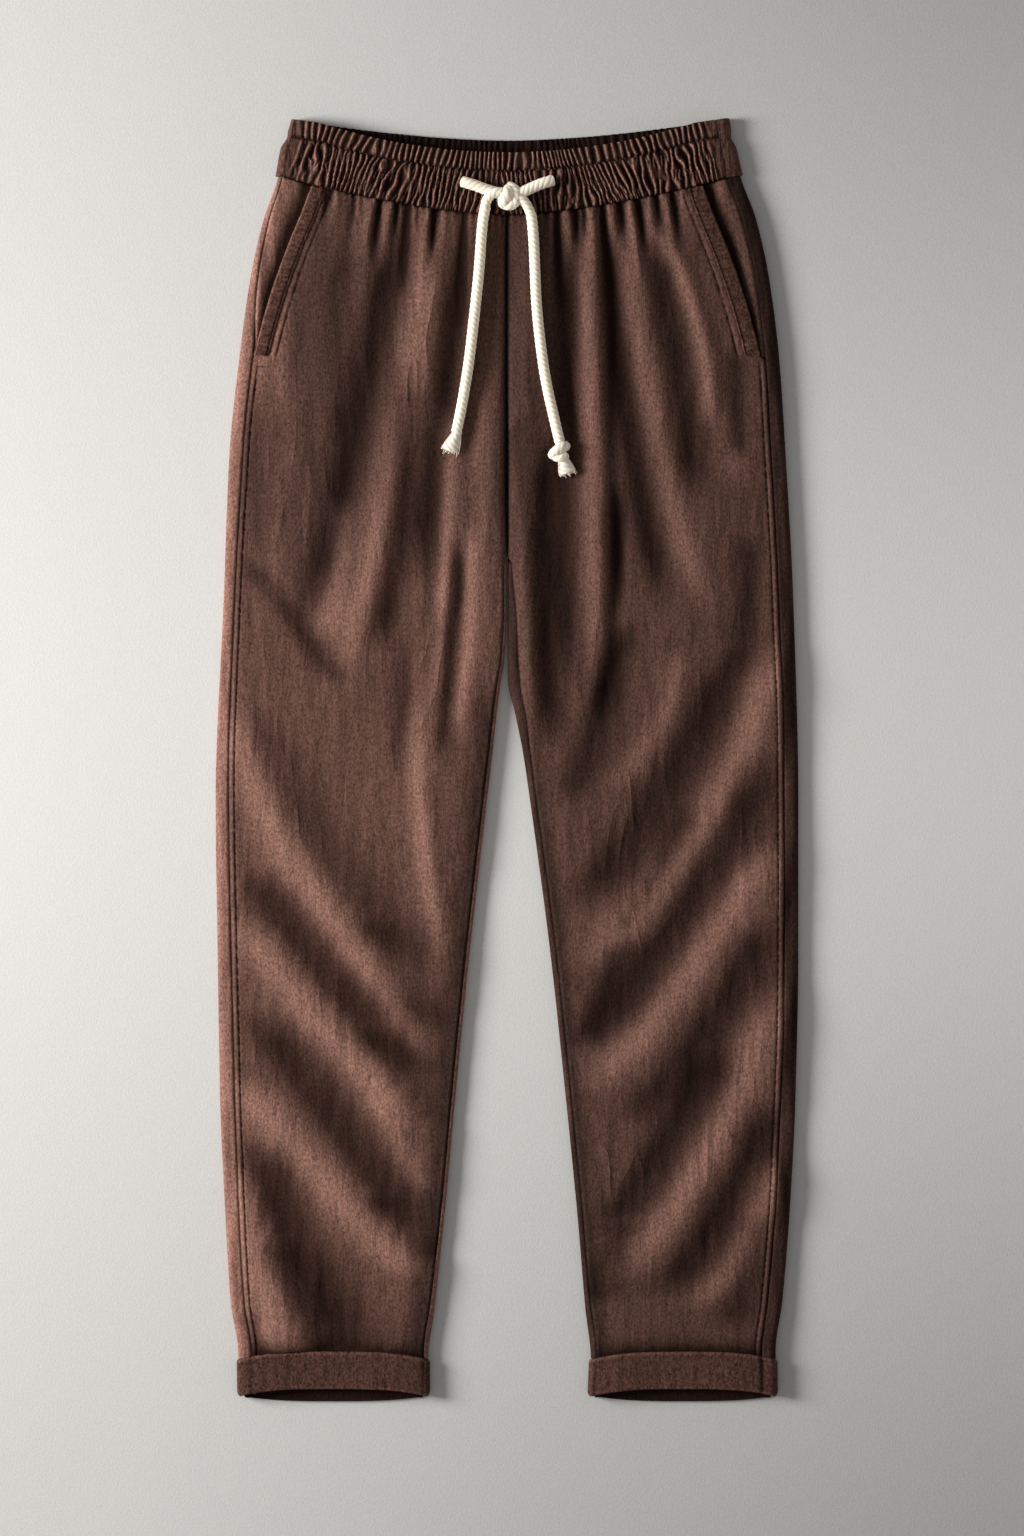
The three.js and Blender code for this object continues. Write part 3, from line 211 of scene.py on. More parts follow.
def curve(rows, column):
    """A smooth curve through a table's columns that never overshoots its rows."""
    keys, values = rows[:, 0], rows[:, column]
    rise = np.diff(values) / np.diff(keys)
    slopes = np.zeros(len(keys))
    product = rise[:-1] * rise[1:]
    total = rise[:-1] + rise[1:]
    turning = product <= 0
    slopes[1:-1] = np.where(turning, 0, 2 * product / np.where(turning, 1, total))

    def at(value):
        value = np.asarray(value, float)
        index = clamp(np.searchsorted(keys, value) - 1, 0, len(keys) - 2)
        span = keys[index + 1] - keys[index]
        t = clamp((value - keys[index]) / span, 0, 1)
        bend = t * (1 - t) * ((1 - t) * slopes[index] - t * slopes[index + 1]) * span
        return mix(values[index], values[index + 1], t * t * (3 - 2 * t)) + bend
    return at


OUTER_EDGE = {-1: curve(OUTER, 1), 1: curve(OUTER, 2)}
SIDE_INSET = {-1: curve(OUTER, 3), 1: curve(OUTER, 4)}
INNER_EDGE = {-1: curve(INNER, 1), 1: curve(INNER, 2)}
INSEAM_INSET = {-1: curve(INNER, 3), 1: curve(INNER, 4)}
body_height = curve(HEIGHTS, 1)
arch_height = curve(HEIGHTS, 2)
sunk_share = curve(HEIGHTS, 3)
back_lift = curve(HEIGHTS, 4)
pocket_across = curve(POCKET_LINE, 1)


def side_seam(side, d):
    return OUTER_EDGE[side](d) - SIDE_INSET[side](d)


def inseam(side, d):
    return INNER_EDGE[side](d) + INSEAM_INSET[side](d)


def fold_line(d):
    return FOLD_LINE * body_height(d)


def front_waist_seam(x):
    return WAIST_ROW - FRONT_SEAM_RISE * (np.abs(x) / SEAM_HALF) ** 1.6


def back_waist_seam(x):
    return BACK_SEAM_MIDDLE - BACK_SEAM_RISE * (np.abs(x) / SEAM_HALF) ** 1.7


def back_top_edge(x):
    return BACK_TOP_DIP * (1 - clamp(np.abs(x) / BACK_TOP_HALF, 0, 1) ** 1.7)


def front_top_edge(x):
    over = 1 - clamp(np.abs(x) / FRONT_TOP_HALF, 0, 1) ** 2.5
    return back_top_edge(x) + FRONT_TOP_DIP * over


def across_leg(side, x, middle_down, side_down):
    outer, inner = OUTER_EDGE[side](LEG_END), INNER_EDGE[side](LEG_END)
    middle = (outer + inner) / 2
    away = clamp(np.abs(x - middle) / (outer - middle), 0, 1)
    return mix(middle_down, side_down, away ** 3.2)


# Uneven cloth
class Waves:
    """Smooth seeded unevenness: a sum of long waves, about -1 to 1."""

    def __init__(self, seed, count, across, down, slant=0.0):
        random = np.random.default_rng(seed)
        self.kx = 2 * math.pi / random.uniform(*across, count)
        self.kx *= random.choice([-1, 1], count)
        self.kd = 2 * math.pi / random.uniform(*down, count) + slant * self.kx
        self.phase = random.uniform(0, 2 * math.pi, count)
        self.size = 1.5 / math.sqrt(count)

    def __call__(self, x, d):
        total = np.zeros(np.broadcast(x, d).shape)
        for kx, kd, phase in zip(self.kx, self.kd, self.phase):
            total += np.sin(kx * x + kd * d + phase)
        return total * self.size


broad = Waves(3, 10, (60, 130), (90, 240))
crinkle = Waves(5, 16, (9, 26), (60, 260))
fine_crinkle = Waves(8, 18, (4.5, 9), (22, 90))
slanted = Waves(11, 14, (18, 42), (60, 200), 0.75)
patches = Waves(14, 8, (30, 80), (40, 110))
gather_drift = Waves(17, 8, (40, 120), (20, 60))
gather_wobble = Waves(21, 10, (10, 26), (9, 26))
pucker = Waves(24, 8, (3.2, 5.5), (3.0, 5.2))


# how much wider folds get in the legs, troughs on the side away from the light even more
LEG_FOLDS_WIDER = 1.15
SHADED_SIDE_WIDER = 1.6
# how much higher than in the tables folds are in the hips and legs, and pleats
HIP_GAIN = 1.3
LEG_GAIN = 1.12
PLEAT_GAIN = 1.7
# where the folds of the legs start, below the hips
LEG_FOLDS = 420


def lower_by(side, x):
    """How far below the solids' own the looks put a fold of the leg."""
    out = smooth(70, 200, x)
    return mix(8, 36, out) if side < 0 else mix(-28, -8, out)


def crease_rise(side, x, d):
    rise = np.zeros(np.broadcast(x, d).shape)
    for fold_side, x0, d0, x1, d1, x2, d2, width, height in FOLDS + SOFT_FOLDS:
        if fold_side != side:
            continue
        if d0 > LEG_FOLDS:
            d0, d1, d2 = d0 + lower_by(side, x0), d1 + lower_by(side, x1), d2 + lower_by(side, x2)
        middle = (d1 - d0) / (d2 - d0)
        bow = (x1 - mix(x0, x2, middle)) / (middle * (1 - middle))
        t = (d - d0) / (d2 - d0)
        centre = mix(x0, x2, t) + bow * t * (1 - t)
        slope = (x2 - x0 + bow * (1 - 2 * t)) / (d2 - d0)
        in_leg = smooth(LEG_FOLDS, 520, d)
        wide = width * mix(1, LEG_FOLDS_WIDER, in_leg)
        if height < 0:
            shaded = side * (x - centre) > 0
            wide = wide * np.where(shaded, mix(1, SHADED_SIDE_WIDER, in_leg), 1)
        away = (x - centre) / np.hypot(1, slope) / wide
        along = np.minimum(1, 2.2 * np.sin(np.pi * clamp(t, 0, 1)))
        rise += height * along * np.exp(-away * away)
    return rise


def valleys(side, x, d, reach_share, narrow, widening):
    """The depth of each short valley under the waistband, which fades and widens downwards."""
    for valley_side, across, reach, depth in VALLEYS:
        if valley_side == side:
            below = d - front_waist_seam(across)
            fade = (1 - smooth(0, reach_share * reach, below)) * (below > -8)
            down = np.maximum(0, below)
            centre = across * (1 + 0.0012 * down)
            yield depth * fade * bump(x - centre, narrow + widening * down)


def pleat_rise(side, x, d):
    rise = np.zeros(np.broadcast(x, d).shape)
    for pleat_side, across, reach, height in PLEATS:
        if pleat_side != side:
            continue
        below = d - front_waist_seam(across)
        centre = across * (1 + 0.0016 * np.maximum(0, below))
        fade = (1 - smooth(0, reach, below)) * (below > -8)
        rise += height * fade * bump(x - centre, PLEAT_WIDTH)
    for depth in valleys(side, x, d, 1, 2.7, 0.035):
        rise -= depth
    return rise


def valley_shade(side, x, d):
    """How deep in the short valleys under the waistband a point lies, 0 to 1."""
    shade = np.zeros(np.broadcast(x, d).shape)
    for depth in valleys(side, x, d, 0.9, 2.2, 0.03):
        shade += 0.5 * depth
    return np.minimum(shade, 1)


def round_over(away):
    away = np.maximum(0, away)
    rounded = np.sqrt(np.maximum(0, 1 - (1 - np.minimum(away / ROUND_OVER, 1)) ** 2))
    sloped = 1 - (1 - np.minimum(away / SLOPE_IN, 1)) ** 2
    return mix(sloped, rounded, SHARE_ROUND)


def tube_height(x, d, outer, inner, crease):
    low = fold_line(d)
    arch = arch_height(d) * (1 - clamp(x / outer, 0, 1) ** 2)
    centre = mix(1, round_over(x - inner), sunk_share(d))
    return low + (body_height(d) - low + arch + crease) * round_over(outer - x) * centre


def gather_phase(side, x, d):
    """Number of gathers from the centre, uneven in width and leaning."""
    part = x / side_seam(side, 30) * side
    count = GATHERS / 2 * part
    return count + 0.4 * gather_drift(side * x, 0 * d) + 0.05 * gather_wobble(side * x, 0.3 * d)


def gather_form(phase):
    """Round ridges with narrow valleys between them, -1 to 1."""
    turn = np.cos(2 * np.pi * phase)
    return 0.85 * turn + 0.24 * np.cos(4 * np.pi * phase + 0.5) - 0.05


# where the stitch of the mock fly runs: down, across
FLY_LINE = curve(np.array([
    (70, 19.5), (150, 19.2), (215, 19), (226, 18.4), (234, 17), (240, 13.6), (245, 9),
    (249, 4.4), (251.5, 0)], float), 1)


def seam_detail(side, x, d):
    """Grooves and small ridges along the seams that the front crosses."""
    wobble = 1 + 0.45 * pucker(0 * x, d)
    from_side = side_seam(side, d) - x
    on_front = from_side > 0
    rise = -0.95 * bump(from_side, 0.95)
    below_pocket = smooth(192, 204, d)
    rise += below_pocket * on_front * (
        0.3 * smooth(0.4, 1.6, from_side) * (1 - smooth(3.7, 4.8, from_side))
        - 0.7 * wobble * bump(from_side - SIDE_STITCH, 0.7))
    in_leg = smooth(LEG_START, LEG_START + 10, d)
    from_inseam = x - inseam(side, d)
    rise += in_leg * (-0.65 * bump(from_inseam, 0.9)
                      + 0.2 * (from_inseam > 0) * bump(from_inseam - 2, 1.4))
    in_hips = 1 - smooth(330, 352, d)
    rise += in_hips * -1.1 * bump(x, 1.2)
    if side > 0:
        fly = FLY_LINE(d)
        under = in_hips * (d < 252) * smooth(-1.2, 0.6, fly - x)
        rise += 0.45 * under
        rise += -0.4 * wobble * bump(fly - x - FLY_STITCH, 0.65) * (d < 250)
    below_waist = d - front_waist_seam(x)
    rise += -0.7 * bump(below_waist, 1.3)
    gathers = gather_form(gather_phase(side, x, front_waist_seam(x) + 0 * d))
    fade = np.exp(-np.maximum(0, below_waist) / 11) * (1 - smooth(148, 162, x))
    rise += 0.5 * fade * gathers
    mouth = (pocket_across(d) - x) * POCKET_LEAN
    in_pocket = (1 - smooth(186, 194, d)) * smooth(-4, 2, below_waist)
    rise += in_pocket * (-0.6 * wobble * bump(mouth - POCKET_STITCHES[1], 0.7)
                         + 0.28 * smooth(11, 12.4, mouth) * (1 - smooth(15.2, 16.2, mouth)))
    return rise


def cloth_detail(side, x, d):
    """The washed linen's own unevenness."""
    sx = side * x
    near_edge = smooth(0, 9, np.minimum(OUTER_EDGE[side](d) - x, 400))
    rise = 0.3 * broad(sx, d) + 0.06 * crinkle(sx, d) * (0.75 + 0.5 * patches(sx, d))
    rise += 0.03 * fine_crinkle(sx, d)
    leg = smooth(420, 560, d)
    rise += 0.07 * leg * slanted(x, -d)
    return rise * near_edge


def folds_rise(side, x, d):
    gain = mix(HIP_GAIN, LEG_GAIN, smooth(LEG_FOLDS, 520, d))
    return crease_rise(side, x, d) * gain + pleat_rise(side, x, d) * PLEAT_GAIN


def front_height(side, x, d):
    inner = INNER_EDGE[side](d)
    crease = folds_rise(side, x, d) + cloth_detail(side, x, d)
    underlap = 0.0
    if side < 0:
        underlap = SEAM_STEP * bump(x, 4) * (1 - smooth(290, 340, d))
    height = tube_height(x, d, OUTER_EDGE[side](d), inner, crease) - underlap
    over = height - LEAST_HEIGHT
    return LEAST_HEIGHT + 0.5 * (over + np.hypot(over, 1)) + seam_detail(side, x, d)


def place(side, x, d, z):
    x, d, z = np.broadcast_arrays(side * x, TOP_Y - d, z)
    return np.stack([x, d, z], axis=-1).astype(float)


def on_front(side, x, d, lift=0.0):
    """Points of the front cloth, moved out of it by lift."""
    step = 0.5
    dx = (front_height(side, x + step, d) - front_height(side, x - step, d)) / (2 * step)
    dd = (front_height(side, x, d + step) - front_height(side, x, d - step)) / (2 * step)
    normal = np.stack(np.broadcast_arrays(-side * dx, dd, np.ones_like(dx)), axis=-1)
    normal /= np.linalg.norm(normal, axis=-1, keepdims=True)
    lift = np.broadcast_to(lift, dx.shape)[..., None]
    return place(side, x, d, front_height(side, x, d)) + normal * lift, normal


def row_down(side, x, row, is_back=False):
    waist = back_waist_seam(x) if is_back else front_waist_seam(x)
    at_waist = (waist - WAIST_ROW) * (1 - smooth(WAIST_ROW, 250, row))
    cuff = CUFF_SEAM_SIDE if is_back else across_leg(side, x, CUFF_SEAM_MIDDLE, CUFF_SEAM_SIDE)
    return row + at_waist + (cuff - LEG_END) * smooth(890, LEG_END, row)


def crossing(side, row, line):
    """Where a row crosses a lengthwise line: across and down."""
    row = np.asarray(row, float)
    down = row.copy()
    for _ in range(12):
        down = row_down(side, line(down), row)
    return line(down), down


def waist_crossing(side, line):
    """Where the waist seam's row crosses a lengthwise line: across and down."""
    across, down = crossing(side, np.array([WAIST_ROW]), line)
    return across[0], down[0]


# Meshes
def new_object(name, points_mm, faces, material, attributes=None, uv=None, sharp=55):
    mesh = bpy.data.meshes.new(name)
    mesh.from_pydata((np.asarray(points_mm) * MM).tolist(), [], faces)
    mesh.validate()
    for key, values in (attributes or {}).items():
        layer = mesh.attributes.new(key, "FLOAT", "POINT")
        layer.data.foreach_set("value", np.asarray(values, np.float32).ravel())
    if uv is not None:
        layer = mesh.uv_layers.new(name="lay")
        corners = np.zeros(len(mesh.loops), np.int32)
        mesh.loops.foreach_get("vertex_index", corners)
        layer.data.foreach_set("uv", np.asarray(uv, np.float32)[corners].ravel())
    mesh.polygons.foreach_set("use_smooth", np.ones(len(mesh.polygons), bool))
    mesh.set_sharp_from_angle(angle=math.radians(sharp))
    mesh.materials.append(material)
    mesh.update()
    piece = bpy.data.objects.new(name, mesh)
    scene.collection.objects.link(piece)
    return piece


def grid_faces(rows, columns, closed=False, start=0, reverse=False):
    i, j = np.meshgrid(np.arange(rows - 1), np.arange(columns if closed else columns - 1),
                       indexing="ij")
    k = (j + 1) % columns
    a, b = i * columns + j, i * columns + k
    c, e = (i + 1) * columns + k, (i + 1) * columns + j
    order = (a, b, c, e) if reverse else (a, e, c, b)
    return (np.stack(order, axis=-1).reshape(-1, 4) + start).tolist()


def grid_normals(points, closed=False, sign=1):
    along = np.gradient(points, axis=0)
    if closed:
        wrapped = np.concatenate([points[:, -1:], points, points[:, :1]], axis=1)
        across = (wrapped[:, 2:] - wrapped[:, :-2]) / 2
    else:
        across = np.gradient(points, axis=1)
    normal = np.cross(along, across) * sign
    return normal / np.maximum(np.linalg.norm(normal, axis=2, keepdims=True), 1e-9)


def shell(name, points, wall, material, sign=1, closed=False, attributes=None, normals=None):
    """A thin closed shell: points is the outer face as rows by columns, in millimetres."""
    rows, columns = points.shape[:2]
    if normals is None:
        normals = grid_normals(points, closed, sign)
    inner = points - normals * wall
    count = rows * columns
    flat = np.concatenate([points.reshape(-1, 3), inner.reshape(-1, 3)])
    faces = grid_faces(rows, columns, closed, 0, sign < 0)
    faces += grid_faces(rows, columns, closed, count, sign > 0)
    rims = []
    if closed:
        rims += [[j, (j + 1) % columns] for j in range(columns)]
        last = (rows - 1) * columns
        rims += [[last + (j + 1) % columns, last + j] for j in range(columns)]
    else:
        border = list(range(columns))
        border += [i * columns + columns - 1 for i in range(1, rows)]
        border += [(rows - 1) * columns + j for j in range(columns - 2, -1, -1)]
        border += [i * columns for i in range(rows - 2, 0, -1)]
        rims += [[border[n], border[(n + 1) % len(border)]] for n in range(len(border))]
    for a, b in rims:
        quad = [a, b, b + count, a + count]
        faces.append(quad if sign > 0 else quad[::-1])
    both = {key: np.tile(np.asarray(value, float).reshape(-1), 2)
            for key, value in (attributes or {}).items()}
    return new_object(name, flat, faces, material, both)


def finish_piece(piece, slot, *nodes):
    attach(piece, "root")
    if nodes:
        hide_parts(*nodes)
    return piece


# Materials
class Surface:
    """A small helper that writes a node material."""

    def __init__(self, name):
        self.material = bpy.data.materials.new(name)
        self.material.use_nodes = True
        self.tree = self.material.node_tree
        self.shader = self.tree.nodes["Principled BSDF"]

    def link(self, source, target):
        self.tree.links.new(source, target)

    def node(self, kind, settings=None, **inputs):
        node = self.tree.nodes.new(kind)
        for key, value in (settings or {}).items():
            setattr(node, key, value)
        for key, value in inputs.items():
            socket = node.inputs[int(key[1:])] if key[1:].isdigit() else node.inputs[key]
            if isinstance(value, bpy.types.NodeSocket):
                self.link(value, socket)
            else:
                socket.default_value = value
        return node

    def math(self, operation, a, b=0.0, c=0.0):
        node = self.node("ShaderNodeMath", {"operation": operation})
        for socket, value in zip(node.inputs, (a, b, c)):
            if isinstance(value, bpy.types.NodeSocket):
                self.link(value, socket)
            else:
                socket.default_value = value
        return node.outputs[0]

    def add(self, *terms):
        total = terms[0]
        for term in terms[1:]:
            total = self.math("ADD", total, term)
        return total

    def weigh(self, base, *parts):
        """base plus each (value, weight) part."""
        return self.add(base, *(self.math("MULTIPLY", part, weight) for part, weight in parts))

    def within(self, value):
        """value, held between 0 and 1."""
        return self.math("MINIMUM", self.math("MAXIMUM", value, 0.0), 1.0)

    def set(self, values):
        for name, value in values.items():
            self.shader.inputs[name].default_value = value

    def noise(self, vector, scale, detail=2.0, rough=0.5, bent=0.0):
        """Noise from about -1 to 1, stretched by scale along each axis."""
        mapped = self.node("ShaderNodeMapping", Vector=vector, Scale=scale)
        node = self.node("ShaderNodeTexNoise", Vector=mapped.outputs[0], Scale=1.0,
                         Detail=detail, Roughness=rough, Distortion=bent)
        return self.math("MULTIPLY_ADD", node.outputs["Fac"], 2.0, -1.0)

    def mix(self, factor, a, b):
        node = self.node("ShaderNodeMix", {"data_type": "RGBA"})
        for key, value in ((0, factor), (6, a), (7, b)):
            if isinstance(value, bpy.types.NodeSocket):
                self.link(value, node.inputs[key])
            else:
                node.inputs[key].default_value = value
        return node.outputs[2]

    def attribute(self, name):
        return self.node("ShaderNodeAttribute", {"attribute_name": name}).outputs["Fac"]

    def position(self):
        return self.node("ShaderNodeTexCoord").outputs["Object"]

    def scaled(self, color, factor):
        node = self.node("ShaderNodeVectorMath", {"operation": "SCALE"})
        if isinstance(color, bpy.types.NodeSocket):
            self.link(color, node.inputs[0])
        else:
            node.inputs[0].default_value = color[:3]
        self.link(factor, node.inputs["Scale"])
        return node.outputs[0]

    def bump(self, height_mm):
        node = self.node("ShaderNodeBump", Height=height_mm, Strength=1.0, Distance=MM)
        self.link(node.outputs[0], self.shader.inputs["Normal"])


def linear(red, green, blue):
    return tuple(((c / 255 + 0.055) / 1.055) ** 2.4 for c in (red, green, blue)) + (1.0,)


# cells in a metre across, along and through the cloth, then detail, roughness and bend
LINEN_NOISE = {
    "warp": ((1250, 60, 300), 2.0), "weft": ((70, 1150, 300), 2.0),
    "grain": ((700, 400, 500), 3.0, 0.75), "slub": ((360, 14, 100), 2.0),
    "blotch": ((26, 11, 20), 3.0, 0.6), "wash": ((7, 4, 6), 2.0),
    "ruffle": ((400, 42, 60), 2.0, 0.5, 0.25), "wrinkle": ((105, 24, 70), 2.0, 0.5, 0.9),
    "small": ((330, 90, 200), 2.0, 0.55, 0.6), "line": ((44, 12, 40), 1.5, 0.45, 0.35),
    "where": ((14, 8, 12), 1.0)}
# how much a noise changes the colour, and the height in millimetres
LINEN_TONE = {"warp": 0.1, "weft": 0.07, "grain": 1.6, "slub": 0.13, "blotch": 0.09, "wash": 0.05}
LINEN_HEIGHT = {"warp": 0.05, "weft": 0.045, "grain": 0.11, "slub": 0.05, "wrinkle": 0.42,
                "small": 0.1, "line": 2.3, "ruffle": 0.8}
LINEN_GRIP = {"grain": 0.06, "slub": 0.03}
LINEN_ROUGH = 0.86
RIDGE_POWER = 1.5
LINE_SHARPNESS = (-1.7, 2.4)


def linen(name, color, highlight_color, crinkled=1.0, brushed=0.0, ruffled=0.0, coarse=1.0):
    """Washed linen: plain weave with uneven warp and weft, slubs and crinkles, with a painted
    highlight on raised folds and painted shade in low ones.
    """
    s = Surface(name)
    at = s.position()
    found = {key: s.noise(at, *values) for key, values in LINEN_NOISE.items()}
    fade, power = LINE_SHARPNESS
    lines = s.math("MULTIPLY_ADD", s.math("ABSOLUTE", found["line"]), fade, 1.0)
    lines = s.math("POWER", s.math("MAXIMUM", lines, 0.0), power)
    found["line"] = s.math("MULTIPLY", lines, s.math("MAXIMUM", found["where"], 0.0))
    factors = {"grain": coarse, "wrinkle": crinkled, "small": crinkled, "line": crinkled,
               "ruffle": ruffled}

    def sum_of(base, weights, scaled=("wrinkle", "small", "line", "ruffle")):
        return s.weigh(base, *((found[key], weight * (factors[key] if key in scaled else 1))
                               for key, weight in weights.items()))

    # painted light and shade: the rise attribute lightens the colour towards the light colour on
    # raised folds and darkens it towards the dark colour in low ones
    ridge = s.math("MULTIPLY_ADD", s.attribute("rise"), 0.5, 0.5)
    ridge = s.weigh(ridge, (found["blotch"], 0.1))
    ridge = s.math("POWER", s.within(ridge), RIDGE_POWER)
    # painted light and shade: a per-point attribute darkens or lightens the whole colour
    painted_shading_factor = s.add(1.0, s.attribute("painted_light_and_shade"))
    tone = s.math("MULTIPLY", sum_of(1.0, LINEN_TONE, ("grain",)), painted_shading_factor)
    s.link(s.scaled(s.mix(ridge, color, highlight_color), tone), s.shader.inputs["Base Color"])
    s.link(sum_of(LINEN_ROUGH, LINEN_GRIP), s.shader.inputs["Roughness"])
    s.set({"Specular IOR Level": 0.1, "Sheen Weight": 0.01 + brushed, "Sheen Roughness": 0.45,
           "Sheen Tint": highlight_color})
    s.bump(sum_of(0.0, LINEN_HEIGHT))
    return s.material


def cotton(name, light, shade):
    """Undyed cotton rope: fine yarns along each strand, which the rope's own lay carries, with
    painted shade in the grooves between strands and a weak painted glow.
    """
    s = Surface(name)
    at = s.position()
    lay = s.node("ShaderNodeUVMap", {"uv_map": "lay"}).outputs[0]
    yarn = s.noise(lay, (5.0, 0.35, 1), 2.0, 0.6)
    fluff = s.noise(at, (900, 900, 900), 3.0, 0.6)
    soil = s.noise(at, (60, 60, 60), 2.0)
    # painted shade: the groove attribute darkens the rope towards the shade colour in the grooves
    # between strands
    shaded = s.weigh(0.02, (s.attribute("groove"), 0.62), (yarn, 0.12), (soil, 0.08))
    s.link(s.mix(s.within(shaded), light, shade), s.shader.inputs["Base Color"])
    # painted glow: a weak warm emission brightens the rope as if more lit
    s.set({"Roughness": 0.9, "Specular IOR Level": 0.2, "Sheen Weight": 0.25,
           "Emission Color": linear(255, 240, 220), "Emission Strength": 0.06,
           "Subsurface Weight": 0.5, "Subsurface Radius": (1.0, 0.9, 0.8),
           "Subsurface Scale": 0.004})
    s.bump(s.weigh(0.0, (yarn, 0.16), (fluff, 0.1)))
    return s.material


# each linen's first colour is its painted shade in low folds, its second the painted highlight on
# raised ones
cloth = linen("linen_cloth", linear(33, 15, 8), linear(152, 111, 98))
turned = linen("linen_turned", linear(40, 21, 14), linear(116, 82, 72), 0.7, 0.02, 0.0, 1.4)
band_cloth = linen("linen_band", linear(28, 13, 8), linear(134, 97, 85), 0.35, 0.0, 1.0)
thread = linen("linen_thread", linear(40, 24, 19), linear(84, 58, 49), 0.0)
cotton_rope = cotton("cotton_rope", linear(255, 246, 229), linear(196, 164, 128))


# Rope
def smooth_route(points, step):
    """Points at an even step along a smooth line through points, with their distances."""
    points = np.asarray(points, float)
    chord = np.concatenate([[0], np.cumsum(np.linalg.norm(np.diff(points, axis=0), axis=1))])
    slope = np.gradient(points, chord, axis=0)
    dense = np.linspace(0, chord[-1], max(8, int(chord[-1] / 0.2)))
    index = clamp(np.searchsorted(chord, dense) - 1, 0, len(chord) - 2)
    span = (chord[index + 1] - chord[index])[:, None]
    t = (dense - chord[index])[:, None] / span
    line = ((2 * t ** 3 - 3 * t ** 2 + 1) * points[index]
            + (t ** 3 - 2 * t ** 2 + t) * span * slope[index]
            + (3 * t ** 2 - 2 * t ** 3) * points[index + 1]
            + (t ** 3 - t ** 2) * span * slope[index + 1])
    length = np.concatenate([[0], np.cumsum(np.linalg.norm(np.diff(line, axis=0), axis=1))])
    at = np.linspace(0, length[-1], max(4, int(round(length[-1] / step)) + 1))
    even = np.stack([np.interp(at, length, line[:, k]) for k in range(3)], axis=1)
    return even, at


def rope_mesh(route_mm, radius, squash=None, taper=None, sides=36, step=0.55, strands=4,
              pitch=17.0, start_turn=0.0):
    """Vertices, faces, groove depth and lay coordinates of a twisted rope, ends closed."""
    line, at = smooth_route(route_mm, step)
    tangent = np.gradient(line, axis=0)
    tangent /= np.linalg.norm(tangent, axis=1, keepdims=True)
    side = np.cross(tangent[0], (0, 0, 1.0))
    if np.linalg.norm(side) < 0.1:
        side = np.cross(tangent[0], (1.0, 0, 0))
    side /= np.linalg.norm(side)
    frames = []
    for direction in tangent:
        side = side - direction * side.dot(direction)
        side /= np.linalg.norm(side)
        frames.append((side, np.cross(side, direction)))
    angle = np.linspace(0, 2 * np.pi, sides, endpoint=False)
    count = len(line)
    turn = angle[None, :] - 2 * np.pi * at[:, None] / pitch + start_turn
    groove = 1 - np.abs(np.cos(strands * turn / 2))
    groove = groove ** 1.4
    size = radius * (1.02 - 0.09 * groove)
    if taper is not None:
        size = size * taper(at / at[-1])[:, None]
    across = np.array([f[0] for f in frames])[:, None, :]
    up = np.array([f[1] for f in frames])[:, None, :]
    flat = 1.0 if squash is None else squash(at / at[-1])[:, None, None]
    ring = (line[:, None, :] + size[..., None] * np.cos(angle)[None, :, None] * across
            + size[..., None] * np.sin(angle)[None, :, None] * up * flat)
    faces = grid_faces(count, sides, True, 0, True)
    points = ring.reshape(-1, 3)
    ends = np.stack([line[0] - tangent[0] * 0.4, line[-1] + tangent[-1] * 0.4])
    first, last = len(points), len(points) + 1
    for j in range(sides):
        k = (j + 1) % sides
        faces.append([first, k, j])
        faces.append([last, (count - 1) * sides + j, (count - 1) * sides + k])
    points = np.concatenate([points, ends])
    lay_u = (strands * turn / (2 * np.pi)).reshape(-1)
    lay_v = np.broadcast_to(at[:, None], (count, sides)).reshape(-1)
    lay = np.concatenate([np.stack([lay_u, lay_v], axis=1), np.zeros((2, 2))])
    depth = np.concatenate([groove.reshape(-1), [0.6, 0.6]])
    return points, faces, depth, lay, line


def join_parts(name, parts, material):
    """One object from several (points, faces, groove, lay) parts."""
    points, faces, depth, lay, start = [], [], [], [], 0
    for part in parts:
        points.append(part[0])
        faces += [[index + start for index in face] for face in part[1]]
        depth.append(part[2])
        lay.append(part[3])
        start += len(part[0])
    return new_object(name, np.concatenate(points), faces, material,
                      {"groove": np.concatenate(depth)}, np.concatenate(lay), 70)


def route_points(route):
    """Rope points, moved down a little where the camera sees raised rope too high up."""
    return np.array([(x, (TOP_Y - d) * (1 - z / CAMERA_SEES_FROM), z) for x, d, z in route], float)


tails, tail_lines = {}, {}
for tail_name, turn in (("right", 0.4), ("left", 1.1)):
    part = rope_mesh(route_points(TAIL_ROUTES[tail_name]), ROPE / 2 * 1.05, start_turn=turn)
    tails[tail_name] = join_parts(f"rope_tail_{tail_name}", [part[:4]], cotton_rope)
    tail_lines[tail_name] = part[4]
    finish_piece(tails[tail_name], "cotton_rope", f"drawstring_{tail_name}")


# The knot: two short stretches from the eyelets, the wraps and the tails' first turns
def lead(points, radius=ROPE / 2 * 0.98, **options):
    return rope_mesh(route_points(points), radius, **options)[:4]


